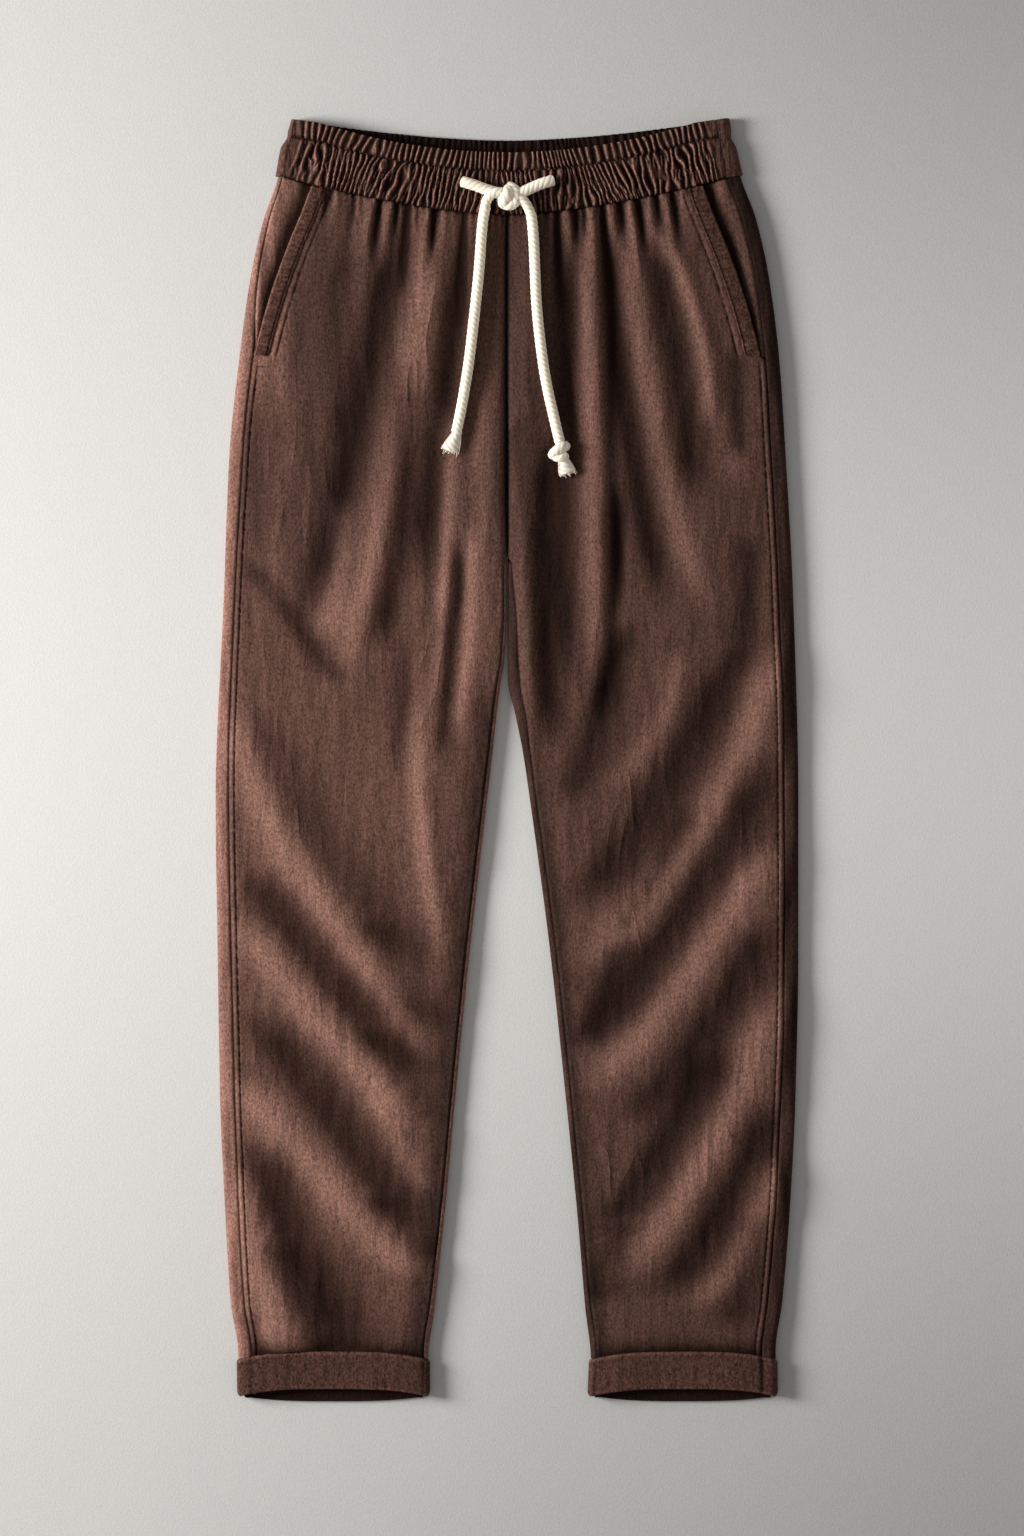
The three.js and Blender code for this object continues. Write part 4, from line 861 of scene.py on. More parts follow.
KNOT_PARTS = [
    lead([(-35.2, 50, 19.4), (-33.4, 50.5, 20.2), (-29.6, 51.6, 21), (-25.6, 52.8, 21.2),
          (-20.8, 54.6, 21.3), (-16, 56.4, 21.4), (-11, 58, 21.6), (-5.4, 60, 21.4)],
         ROPE / 2 * 1.1, start_turn=0.3),
    lead([(36, 48.9, 19.4), (34.2, 49.5, 20.2), (30.6, 50.6, 21), (26.4, 52, 21.2),
          (22.4, 53.7, 21.3), (18.4, 55.5, 21.4), (14, 57.6, 21.6), (8, 60.2, 21.4)],
         ROPE / 2 * 1.1, start_turn=1.9),
    lead([(-1, 58.6, 22.2), (-5, 58.4, 23.6), (-9.6, 58.8, 24), (-12.8, 60.6, 23.6),
          (-15.2, 63.4, 22.5), (-16.8, 67, 21.4), (-17.4, 71.2, 20.4)], start_turn=2.0),
    lead([(5, 60, 22), (9.2, 62, 22.6), (13, 65.2, 22.4), (15.8, 68.8, 21.6),
          (17.8, 72.8, 20.7), (19.3, 76.6, 20.1)], start_turn=0.9),
    lead([(1.6, 54.4, 18.8), (4.2, 55.4, 20.8), (7, 58.4, 22), (7.6, 62.8, 22.4),
          (5.4, 67, 22.2), (1.2, 68.4, 21.6), (-2.6, 66.4, 20.4), (-4, 64.4, 18.6)],
         ROPE / 2 * 1.14, start_turn=2.2),
    lead([(-2.6, 67.4, 18.8), (-2.2, 66, 21.8), (-1.4, 63.4, 24.2), (-0.4, 60.6, 24.6),
          (0.8, 58, 23), (1.6, 56.8, 20)], ROPE / 2 * 1.24, start_turn=0.5),
]
knot = join_parts("rope_knot", KNOT_PARTS, cotton_rope)
finish_piece(knot, "cotton_rope", "drawstring_knot")

END_KNOT_PARTS = [
    lead([(41.6, 256.6, 13.7), (42.8, 261.6, 13.8), (43.4, 267, 13.6), (44.6, 272.6, 13)],
         ROPE / 2 * 0.98, start_turn=0.2, pitch=14),
    lead([(47.2, 261.4, 12.4), (44.6, 262, 16), (40.8, 264, 17), (37.6, 266.8, 15.8),
          (36.2, 269.4, 12.8)], ROPE / 2 * 0.98, start_turn=1.4, pitch=14),
    lead([(36.4, 267.6, 12.6), (39.2, 270.4, 15), (43.4, 271, 16), (47, 268.6, 13.6)],
         ROPE / 2 * 0.86, start_turn=2.4, pitch=14),
]
end_knot = join_parts("rope_end_knot", END_KNOT_PARTS, cotton_rope)
finish_piece(end_knot, "cotton_rope", "end_knot_left")


# Frayed ends
def fibre(points, radius, shade):
    """A thin tapering fibre of four sides."""
    line, at = smooth_route(points, 1.4)
    tangent = np.gradient(line, axis=0)
    tangent /= np.linalg.norm(tangent, axis=1, keepdims=True)
    side = np.cross(tangent, (0.1, 0.2, 1.0))
    side /= np.linalg.norm(side, axis=1, keepdims=True)
    up = np.cross(side, tangent)
    size = radius * (1 - 0.6 * (at / at[-1]) ** 1.5)
    angle = np.arange(4) * np.pi / 2
    ring = (line[:, None] + (size[:, None] * np.cos(angle))[..., None] * side[:, None]
            + (size[:, None] * np.sin(angle))[..., None] * up[:, None])
    count = len(line)
    faces = grid_faces(count, 4, True, 0, True)
    faces += [[3, 2, 1, 0], [4 * (count - 1) + k for k in range(4)]]
    points = ring.reshape(-1, 3)
    lay = np.stack([np.tile(angle, count) * 0.2, np.repeat(at, 4)], axis=1)
    return points, faces, np.full(len(points), shade), lay


def frayed_end(name, root, aim, opening, length, count, seed):
    random = np.random.default_rng(seed)
    root = route_points([root])[0]
    parts = []
    ahead = np.array((math.sin(aim), -math.cos(aim), 0))
    sideways = np.array((math.cos(aim), math.sin(aim), 0))
    for index in range(count):
        round_it = random.uniform(0, 2 * math.pi)
        out = math.sqrt(random.uniform(0.45, 1.0))
        across, lift = out * math.cos(round_it), out * math.sin(round_it)
        reach = length * random.uniform(0.84, 1.05) * (1 - 0.12 * abs(across))
        if index % 12 == 0:
            reach, across = reach * 1.12, across * 1.35
        wave = random.uniform(-1, 1, 3)
        line = [root - ahead * 1.5 + sideways * across * 3.1 + np.array((0, 0, lift * 2.6))]
        for step, t in enumerate((0.35, 0.7, 1.0)):
            bell = 3.4 + (opening * 6.2 - 3.4) * t ** 0.8
            point = root + ahead * reach * t + sideways * (across * bell + wave[step] * 0.5 * t)
            line.append(point + np.array((0, 0, lift * (2.9 - 0.3 * t) - 1.4 * t)))
        parts.append(fibre(line, random.uniform(0.42, 0.72), 3 * random.uniform(0, 1) ** 2))
    head = [root - ahead * 4, root - ahead * 0.5, root + ahead * length * 0.45
            + np.array((0, 0, -0.8)), root + ahead * length * 0.86 + np.array((0, 0, -1.4))]

    def bell_size(t):
        return 0.98 + (opening * 1.42 - 1) * smooth(0.25, 0.95, t) - 0.35 * smooth(0.93, 1, t)

    def bell_flat(t):
        return 1 - 0.42 * smooth(0.25, 0.9, t)
    parts.append(rope_mesh(head, ROPE / 2, squash=bell_flat, taper=bell_size, step=0.5)[:4])
    return join_parts(name, parts, cotton_rope)


TUFTS = {
    "right": ((-40.8, 253.0, 13.8), -0.42, 1.12, 15.5, 92, 31),
    "left": ((44.6, 271.4, 13.4), 0.34, 1.12, 14.5, 88, 37),
}
tufts = {}
for tail_name, values in TUFTS.items():
    tufts[tail_name] = frayed_end(f"rope_tuft_{tail_name}", *values)
    finish_piece(tufts[tail_name], "cotton_rope", f"frayed_end_{tail_name}")


# Front panels
EDGE_STEPS = [0, 0.5, 1, 1.7, 2.5, 3.4, 4.1, 4.6, 5.1, 5.8, 6.8, 8.2, 9.8, 11.2, 12.2, 13.2,
              14.4, 15.6, 16.4, 17.2, 18.2, 19.6, 21.4]
CENTRE_STEPS = [9.5, 7.4, 5.8, 4.5, 3.4, 2.5, 1.7, 1.1, 0.55, 0]
MIDDLE_COLUMNS = 70


def panel_rows(first, last):
    rows = [first]
    while rows[-1] < last - 1:
        below = rows[-1] - first
        rows.append(rows[-1] + mix(1.25, 2.4, float(smooth(20, 70, below))))
    return np.array(rows[:-1] + [last])


def front_painted_shading(side, x, d):
    """Painted light and shade on the front: darker at the hips, the centre and the inner edges,
    all over on the left, lighter by the right pocket.
    """
    hips = 1 - smooth(270, LEG_FOLDS, d)
    legs = smooth(425, 480, d)
    inner_edge = x - INNER_EDGE[side](d)
    centre = (1 - smooth(300, 345, d)) * bump(x, 4 if side < 0 else 2)
    if side < 0:
        outer_hip = smooth(105, 150, x) * (1 - smooth(330, 440, d))
        beside_pocket = smooth(168, 186, x) * (1 - smooth(190, 250, d))
        inner_leg = legs * (1 - smooth(4, 28, inner_edge))
        return (-0.22 * hips - 0.5 * centre - 0.2 * outer_hip + 0.9 * beside_pocket
                - 0.66 * inner_leg)
    by_centre = (1 - smooth(22, 38, x)) * (1 - legs)
    inner_leg = legs * (1 - smooth(5, 22, inner_edge))
    return -0.22 - 0.06 * hips - 0.4 * centre - 0.3 * by_centre - 0.45 * inner_leg


def front_panel(side, name):
    rows = panel_rows(WAIST_ROW + 0.2, LEG_END)
    pocket, _ = crossing(side, rows, pocket_across)
    seam, _ = crossing(side, rows, lambda d: side_seam(side, d))
    outer = np.where(rows < POCKET_END, pocket, seam)
    inner_seam, _ = crossing(side, rows, lambda d: inseam(side, d))
    inner = mix(HALF_GAP, inner_seam, smooth(LEG_START - 3, LEG_START + 4, rows))
    start, stop = outer - EDGE_STEPS[-1], inner + CENTRE_STEPS[0]
    t = np.linspace(0, 1, MIDDLE_COLUMNS)[1:-1]
    x = np.concatenate([
        outer[:, None] - np.array(EDGE_STEPS)[None, :],
        start[:, None] + (stop - start)[:, None] * t[None, :],
        inner[:, None] + np.array(CENTRE_STEPS)[None, :]], axis=1)
    d = row_down(side, x, rows[:, None])
    below_waist = np.maximum(0, d - front_waist_seam(x))
    gathers = gather_form(gather_phase(side, x, front_waist_seam(x) + 0 * d))
    above_cuff = across_leg(side, x, CUFF_SEAM_MIDDLE, CUFF_SEAM_SIDE) - d
    # painted light and shade: lighter on fold crests and raised seams, darker in troughs, seam
    # grooves, the short valleys, between waist gathers and along a line above the cuff
    rise = clamp(np.tanh(folds_rise(side, x, d) / 4.0) + 0.04 * crinkle(side * x, d)
                 + 0.8 * seam_detail(side, x, d) - 1.1 * np.exp(-above_cuff / 7)
                 + 0.3 * np.exp(-below_waist / 9) * (gathers - 0.5)
                 - 1.15 * valley_shade(side, x, d), -1, 1)
    points, normals = on_front(side, x, d)
    piece = shell(f"linen_front_{name}", points, CLOTH, cloth, -side, False,
                  {"rise": rise, "painted_light_and_shade": front_painted_shading(side, x, d)}, normals)
    return finish_piece(piece, "linen_cloth", f"front_{name}")


def pocket_edge(side, name):
    """The turned and stitched edge of the pocket mouth, puckered across."""
    rows = np.arange(WAIST_ROW + 1.5, POCKET_END - 3, 0.9)
    mouth, _ = crossing(side, rows, pocket_across)
    inset = np.array([-0.5, -0.35, 0, 0.6, 1.3, 2.2, 3.2, 4.2, 5.2, 6.2, 7.2, 8.2, 9, 9.7,
                      10.3, 10.8, 11.3, 11.8])
    x = mouth[:, None] - inset[None, :]
    d = row_down(side, x, rows[:, None])
    top = 1.25 + 0.2 * np.sin(np.pi * clamp(inset / 10, 0, 1))
    top = top * smooth(-0.9, 0.5, inset) * (1 - smooth(10.6, 12, inset)) + 0.1
    stitch = -0.55 * bump(inset - POCKET_STITCHES[0], 0.6)
    puckers = pucker(x * 0.25, d) * smooth(0, 3, inset) * (1 - smooth(9.4, 10.4, inset))
    wide = gather_wobble(d * 1.4, x * 0.5)
    lift = top[None, :] + stitch[None, :] + 0.2 * puckers + 0.08 * wide
    ends = smooth(0, 4, rows - rows[0]) * smooth(0, 3, rows[-1] - rows)
    lift = np.maximum(lift * (0.35 + 0.65 * ends[:, None]), 0.12)
    points, _ = on_front(side, x, d, lift)
    # painted light and shade: a painted highlight along the mouth's folded edge and painted shade
    # along the inner stitch, the puckers lighter and darker
    rise = clamp(0.14 * puckers + 0.12 * wide + 0.75 * bump(inset[None, :] - 0.3, 0.9)
                 - 0.9 * bump(inset[None, :] - POCKET_STITCHES[0], 0.9) - 0.05, -1, 1)
    normals = grid_normals(points, False, side)
    piece = shell(f"linen_pocket_edge_{name}", points, 0.7, turned, -side, False,
                  {"rise": rise}, -normals)
    return finish_piece(piece, "linen_turned", f"pocket_edge_{name}")


def pocket_facing(side, name):
    rows = np.arange(WAIST_ROW + 0.2, POCKET_END, 1.8)
    seam, _ = crossing(side, rows, lambda d: side_seam(side, d))
    mouth, _ = crossing(side, rows, pocket_across)
    inner = mouth - POCKET_UNDERLAP
    edge = np.array([0, 0.5, 1.1, 2, 3.2])
    t = np.linspace(0, 1, 18)[1:]
    start = seam - np.minimum(edge[-1], (seam - inner) * 0.25)
    first = seam[:, None] - edge[None, :] * ((seam - start) / edge[-1])[:, None]
    x = np.concatenate([first, start[:, None] + (inner - start)[:, None] * t[None, :]], axis=1)
    d = row_down(side, x, rows[:, None])
    before = np.maximum(seam - mouth, 1)[:, None]
    sink = np.maximum(smooth(0, 1, (seam[:, None] - x) / before),
                      smooth(170, POCKET_END, rows)[:, None])
    tuck = clamp((mouth[:, None] - x) / POCKET_UNDERLAP, 0, 1)
    deep = 1.7 * smooth(0.25, 1, (seam[:, None] - x) / before) * (
        1 - smooth(150, 190, rows)[:, None])
    points, normals = on_front(side, x, d, -POCKET_SINK * sink - tuck - deep)
    # painted shade: the facing darkens towards the pocket mouth, and is painted lighter on the
    # right side and darker on the left
    rise = clamp(0.15 * crinkle(side * x, d) + 0.35 - 1.7 * smooth(
        0.3, 1, (seam[:, None] - x) / before), -1, 1)
    piece = shell(f"linen_pocket_facing_{name}", points, CLOTH, cloth, -side, False,
                  {"rise": rise, "painted_light_and_shade": np.full(rise.shape, -0.12 - side * 0.25)}, normals)
    return finish_piece(piece, "linen_cloth", f"pocket_facing_{name}")


# Back panels
def back_panel(side, name):
    rows = np.concatenate([np.arange(WAIST_ROW + 0.2, 330, 3.0), np.arange(330, 372, 1.5),
                           np.arange(372, LEG_END, 3.0), [LEG_END]])
    outer_x, outer_d = crossing(side, rows, OUTER_EDGE[side])
    seam_x, seam_d = crossing(side, rows, lambda d: side_seam(side, d) + SEAM_GAP)
    lift, low = back_lift(outer_d), fold_line(outer_d)
    turn = low - lift
    columns, normals = [], []

    def add(x, d, z, nx, nz):
        point = place(side, x, d, z)
        normal = np.zeros_like(point)
        normal[..., 0], normal[..., 2] = side * nx, nz
        columns.append(point)
        normals.append(normal)

    for t in (0, 0.06, 0.13, 0.22, 0.34, 0.46, 0.58, 0.7, 0.8, 0.88, 0.94, 0.98):
        points, normal = on_front(side, mix(seam_x, outer_x, t), mix(seam_d, outer_d, t))
        columns.append(points)
        normals.append(normal)
    for angle in np.linspace(0, math.pi / 2, 6):
        add(outer_x - turn * (1 - math.cos(angle)), outer_d, low - turn * math.sin(angle),
            math.cos(angle), -math.sin(angle))
    wall_share = smooth(WALL_START, LEG_START - 4, rows)
    inner_x = mix(HALF_GAP, INNER_EDGE[side](rows), (rows > WALL_START) * 1.0)
    inner_turn = turn * wall_share

    def down_at(x):
        t = (outer_x - low - x) / BACK_EASE
        return mix(outer_d, row_down(side, x, rows, True), smooth(0, 1, t))

    for t in np.linspace(0, 1, 15)[1:]:
        x = mix(outer_x - turn, inner_x + inner_turn, t)
        add(x, down_at(x), lift, 0, -1)
    in_leg = smooth(LEG_START - 2, LEG_START + 6, rows)
    wall_top = mix(lift + CROTCH_WALL * wall_share, low, in_leg)
    bend = np.minimum(inner_turn, wall_top - lift)
    wall_d = down_at(inner_x)
    for angle in np.linspace(math.pi / 2, 0, 6)[1:]:
        add(inner_x + inner_turn * (1 - math.cos(angle)), wall_d,
            lift + bend * (1 - math.sin(angle)), -math.cos(angle), -math.sin(angle))
    in_x, in_d = crossing(side, rows, lambda d: inseam(side, d) - SEAM_GAP)
    ridge = place(side, inner_x, wall_d, wall_top)
    flat = np.zeros_like(ridge)
    flat[:, 0] = -side
    for t in (0.1, 0.25, 0.45, 0.65, 0.83, 1.0):
        points, normal = on_front(side, mix(inner_x, in_x, t), mix(wall_d, in_d, t))
        share = in_leg[:, None]
        columns.append(mix(ridge + np.array([0, 0, 0.02 * t]), points, share))
        blended = mix(flat, normal, share)
        normals.append(blended / np.linalg.norm(blended, axis=1, keepdims=True))
    points = np.stack(columns, axis=1)
    stacked = np.stack(normals, axis=1)
    # painted light and shade: the back's strip beyond the side seam is painted lighter on the
    # right side and darker on the left, and darker towards the waist
    rise = 0.1 * crinkle(points[..., 0], TOP_Y - points[..., 1]) - side * 0.45
    down = TOP_Y - points[..., 1]
    painted_light_and_shade = mix(-0.28 - side * 0.34, -0.1 - side * 0.28, smooth(150, 230, down))
    piece = shell(f"linen_back_{name}", points, CLOTH, cloth, side, False,
                  {"rise": rise, "painted_light_and_shade": painted_light_and_shade}, stacked)
    return finish_piece(piece, "linen_cloth", f"back_{name}")


# Waistband
GATHER_SIZE = curve(np.array([
    (0, 0.75), (0.1, 0.8), (0.22, 0.8), (0.29, 0.62), (0.36, 0.95), (0.55, 1.2), (0.8, 1.2),
    (0.93, 1.0), (1, 0.8)], float), 1)


def gathered(part):
    return 1 - smooth(0.93, 0.995, np.abs(part))


def band_across(side, size, share):
    at_top = side_seam(side, 0) * (size - GATHER_LEAN * np.sin(np.pi * size))
    at_seam = waist_crossing(side, lambda d: side_seam(side, d))[0] * size
    return mix(at_top, at_seam, share)


def band_side(side, d):
    """The band's folded edge: the frill is pinched below by its stitch, the channel bulges."""
    share = d / BAND_DEPTH
    bulge = 1.7 * smooth(0.27, 0.4, share) * (1 - smooth(0.75, 0.98, share))
    return OUTER_EDGE[side](d) + BAND_SIDE_PROUD + bulge - 1.1 * bump(share - 0.25, 0.06)


def band_base(side, x, d):
    outer = band_side(side, d)
    inner = INNER_EDGE[side](d)
    return tube_height(x, d, outer, inner, 0)


def band_points(side, x, d, rise):
    step = 0.3
    slope = (band_base(side, x + step, d) - band_base(side, x - step, d)) / (2 * step)
    normal = np.stack([-side * slope, np.zeros_like(slope), np.ones_like(slope)], axis=-1)
    normal /= np.linalg.norm(normal, axis=-1, keepdims=True)
    return place(side, x, d, band_base(side, x, d)) + normal * np.asarray(rise)[..., None]


def ruffle(part, share):
    """How far the gathered cloth stands out, and its form from -1 to 1."""
    along = part * BAND_HALF
    down = share * BAND_DEPTH
    count = BAND_GATHERS / 2 * part
    in_frill = 1 - smooth(0.27, 0.31, share)
    drift = 0.5 * gather_drift(along + 25 * in_frill, 0.1 * down)
    wobble = (0.05 + 0.07 * (1 - in_frill)) * gather_wobble(along, 0.4 * down)
    form = gather_form(count + drift + wobble)
    second = np.cos(2 * np.pi * (2 * count + 2 * drift + 0.12 * gather_wobble(down, along)))
    split = smooth(-0.1, 0.6, gather_drift(along * 1.3 + 90, down * 1.2))
    form = mix(form, 0.5 * form + 0.6 * second, 0.8 * split * (1 - in_frill))
    uneven = 0.9 + 0.25 * gather_drift(along * 1.7 + 40, 0.5 * down)
    return GATHER_RISE * GATHER_SIZE(share) * uneven * form, form


def band_front():
    parts = np.linspace(-1, 1, 2 * GATHERS * 5 + 1)
    shares = np.concatenate([np.linspace(0, 0.04, 4)[:-1], np.linspace(0.04, 1, 46)])
    share = shares[:, None]
    halves = []
    for side in (-1, 1):
        part = parts[parts < 0] if side < 0 else parts[parts >= 0]
        size = np.abs(part)[None, :]
        x = band_across(side, size, share)
        d = mix(front_top_edge(x), front_waist_seam(x) - SEAM_GAP, share)
        rise, form = ruffle(part[None, :], share)
        rise = rise * gathered(part)[None, :]
        small = 0.16 * fine_crinkle(side * x, d) + 0.1 * crinkle(side * x, d)
        stitch = -0.95 * bump(share - CHANNEL_SHARE, 0.022) * (0.5 + 0.5 * gathered(part)[None, :])
        stitch = stitch - 0.5 * bump(share - CHANNEL_SHARE, 0.06) * gathered(part)[None, :]
        lips = -0.5 * bump(share, 0.02) - 0.55 * bump(share - 1, 0.018)
        height = BAND_PROUD + rise + small + stitch + lips
        points = band_points(side, x, d, height)
        halves.append((points, np.broadcast_to(form * gathered(part)[None, :], x.shape)))
    points = np.concatenate([halves[0][0], halves[1][0]], axis=1)
    form = np.concatenate([halves[0][1], halves[1][1]], axis=1)
    # painted light and shade: lighter on the gathers' ridges, darker in their valleys, along the
    # channel stitch and at the lower edge
    rise = clamp(1.3 * form - 0.15 - 0.9 * bump(share - CHANNEL_SHARE, 0.03)
                 - 1.0 * bump(share - 1, 0.025), -1, 1)
    normals = grid_normals(points, False, 1)
    sign = 1 if normals[..., 2].mean() > 0 else -1
    piece = shell("linen_band_front", points, 1.5, band_cloth, sign, False, {"rise": rise})
    return finish_piece(piece, "linen_band", "waistband_front")


def band_back():
    shares = np.linspace(0, 1, 30)
    columns, tone = [], []

    def end(side):
        found = [("top", t) for t in (0, 0.08, 0.2, 0.36, 0.52, 0.68, 0.82, 0.93, 0.985)]
        found += [("turn", angle) for angle in np.linspace(0, math.pi / 2, 6)]
        made = []
        for kind, value in found:
            column = []
            for share in shares:
                seam_x = band_across(side, 1, share) + SEAM_GAP
                seam_d = mix(front_top_edge(seam_x), front_waist_seam(seam_x) - SEAM_GAP, share)
                edge_end = waist_crossing(side, OUTER_EDGE[side])[1]
                edge_d = mix(back_top_edge(OUTER_EDGE[side](0)), edge_end - SEAM_GAP, share)
                edge_x = band_side(side, edge_d)
                groove = -0.6 * bump(share - CHANNEL_SHARE, 0.03) - 0.4 * bump(share, 0.03)
                if kind == "top":
                    x, d = mix(seam_x, edge_x, value), mix(seam_d, edge_d, value)
                    lift = mix(BAND_PROUD, 0, value) + groove * (1 - value)
                    small = 0.35 * pucker(x * 0.9, d * 0.35) - 0.7 * bump(value, 0.1)
                    point = band_points(side, np.array(x), np.array(d), lift + small * (1 - value))
                else:
                    low = fold_line(edge_d)
                    point = place(side, edge_x - low * (1 - math.cos(value))
                                  + groove * math.cos(value), edge_d,
                                  low * (1 - math.sin(value)))
                column.append(np.asarray(point).reshape(3))
            made.append(np.array(column))
        return made

    for column in end(-1):
        columns.append(column)
        tone.append(np.zeros(len(shares)))
    for part in np.linspace(-0.975, 0.975, 2 * GATHERS * 4 + 1):
        side = -1 if part < 0 else 1
        size = abs(part)
        outer_x, outer_d = waist_crossing(side, OUTER_EDGE[side])

        def wide(d, side=side, size=size):
            return (OUTER_EDGE[side](d) - fold_line(d)) * size
        at_seam = waist_crossing(side, wide)[0]
        x = mix(wide(4.0), at_seam, shares)
        t = (outer_x - fold_line(outer_d) - x) / BACK_EASE
        seam_d = mix(outer_d, row_down(side, x, np.full_like(x, WAIST_ROW), True),
                     smooth(0, 1, t)) - SEAM_GAP
        d = mix(back_top_edge(x), seam_d, shares)
        rise, form = ruffle(np.full_like(shares, part), shares)
        ripple = np.maximum(0, 0.65 + rise * 0.75) * gathered(part)
        groove = 0.3 * bump(shares - CHANNEL_SHARE, 0.03)
        columns.append(place(side, x, d, np.maximum(0, ripple - groove)))
        # painted shade: the gathered middle of the back band, seen through the waist opening, is
        # painted dark
        tone.append(0.5 * form * gathered(part) - 1.4)
    for column in end(1)[::-1]:
        columns.append(column)
        tone.append(np.zeros(len(shares)))
    points = np.stack(columns, axis=1)
    rise = clamp(np.stack(tone, axis=1), -1, 1)
    normals = grid_normals(points, False, 1)
    sign = -1 if normals[:, 100:-100, 2].mean() > 0 else 1
    piece = shell("linen_band_back", points, 1.7, band_cloth, sign, False, {"rise": rise})
    return finish_piece(piece, "linen_band", "waistband_back")


# Cuffs
def cuff_wave(side, x, share):
    return 0.5 * share * np.sin(x / 9 + side) * np.sin(x / 23)


def cuff(side, name):
    shares = np.concatenate([[0, 0.012, 0.03, 0.055], np.linspace(0.09, 0.9, 22),
                             [0.93, 0.955, 0.975, 0.99, 1]])
    rings, tones = [], []
    for share in shares:
        side_d = float(mix(CUFF_SEAM_SIDE + SEAM_GAP, HEM_SIDE, share))
        corner = 2.6 * (1 - math.sqrt(1 - max(0, 1 - share / 0.1, 1 - (1 - share) / 0.16) ** 2))
        wide = float(OUTER_EDGE[side](side_d)) + CUFF_WIDER - corner
        narrow = float(INNER_EDGE[side](side_d)) - CUFF_WIDER + corner
        low = float(fold_line(side_d))
        edge = 13 * np.linspace(0, 1, 12) ** 2
        middle = np.linspace(wide - 13, narrow + 13, 84)[1:-1]
        x = np.concatenate([wide - edge, middle, narrow + edge[::-1]])
        inset = np.minimum(wide - x, x - narrow)
        front_d = mix(across_leg(side, x, CUFF_SEAM_MIDDLE, CUFF_SEAM_SIDE) + SEAM_GAP,
                      across_leg(side, x, FRONT_HEM_MIDDLE, HEM_SIDE), share)
        height = tube_height(x, front_d, wide, narrow, cuff_wave(side, x, share))
        seam_x = side_seam(side, front_d)
        small = 0.07 * crinkle(side * x, front_d * 1.5) + 0.04 * fine_crinkle(side * x, front_d)
        small = small + 0.16 * pucker(side * x * 0.8, front_d * 0.6) * (
            bump(share - 0.06, 0.09) + 0.7 * bump(share - 0.93, 0.08))
        lip = -0.95 * bump(share, 0.02) - 1.0 * bump(share - 1, 0.022)
        lip = lip + 0.35 * bump(share - 0.07, 0.05) + 0.3 * bump(share - 0.93, 0.05)
        seams = bump(seam_x - x, 1.1) + 0.6 * bump(x - inseam(side, front_d), 0.9)
        lip = lip - 0.9 * seams
        proud = CUFF_PROUD * smooth(0, 1.6, inset) + (lip + small) * smooth(0, 2.4, inset)
        d = mix(side_d, front_d, smooth(0, 2.5, inset))
        top = place(side, x, d, height + proud)
        # painted light and shade: lighter near the top and lower edges, darker along the seams
        tone = clamp(0.4 * small + 0.4 * bump(share - 0.05, 0.04) - 0.9 * seams
                     + 0.5 * bump(share - 0.97, 0.03) - 0.1, -1, 1) + 0 * x
        turn = np.linspace(0, math.pi / 2, 6)[1:]
        near = place(side, narrow + low * (1 - np.cos(turn)), side_d, low * (1 - np.sin(turn)))
        flat_x = np.linspace(narrow + low, wide - low, 40)[1:-1]
        back_d = mix(CUFF_SEAM_SIDE + SEAM_GAP,
                     across_leg(side, flat_x, BACK_HEM_MIDDLE, HEM_SIDE), share)
        inward = 0.7 * bump(share - 1, 0.022) + 0.7 * bump(share, 0.02)
        under = place(side, flat_x, back_d, inward + 0 * flat_x)
        far = place(side, wide - low * (1 - np.cos(turn[::-1])), side_d,
                    low * (1 - np.sin(turn[::-1])))
        rings.append(np.concatenate([top, near, under, far]))
        # painted shade: the cuff's sides and underside are painted dark
        inside = np.full(len(near) + len(under) + len(far), -0.9)
        tones.append(np.concatenate([tone, inside]))
    points = np.stack(rings)
    rise = np.stack(tones)
    normals = grid_normals(points, True, 1)
    sign = 1 if normals[:, 40:60, 2].mean() > 0 else -1
    piece = shell(f"linen_cuff_{name}", points, 2.0, turned, sign, True, {"rise": rise,
                  "painted_light_and_shade": np.where(rise < -0.89, -0.35, 0.05)})
    return finish_piece(piece, "linen_turned", f"cuff_{name}")


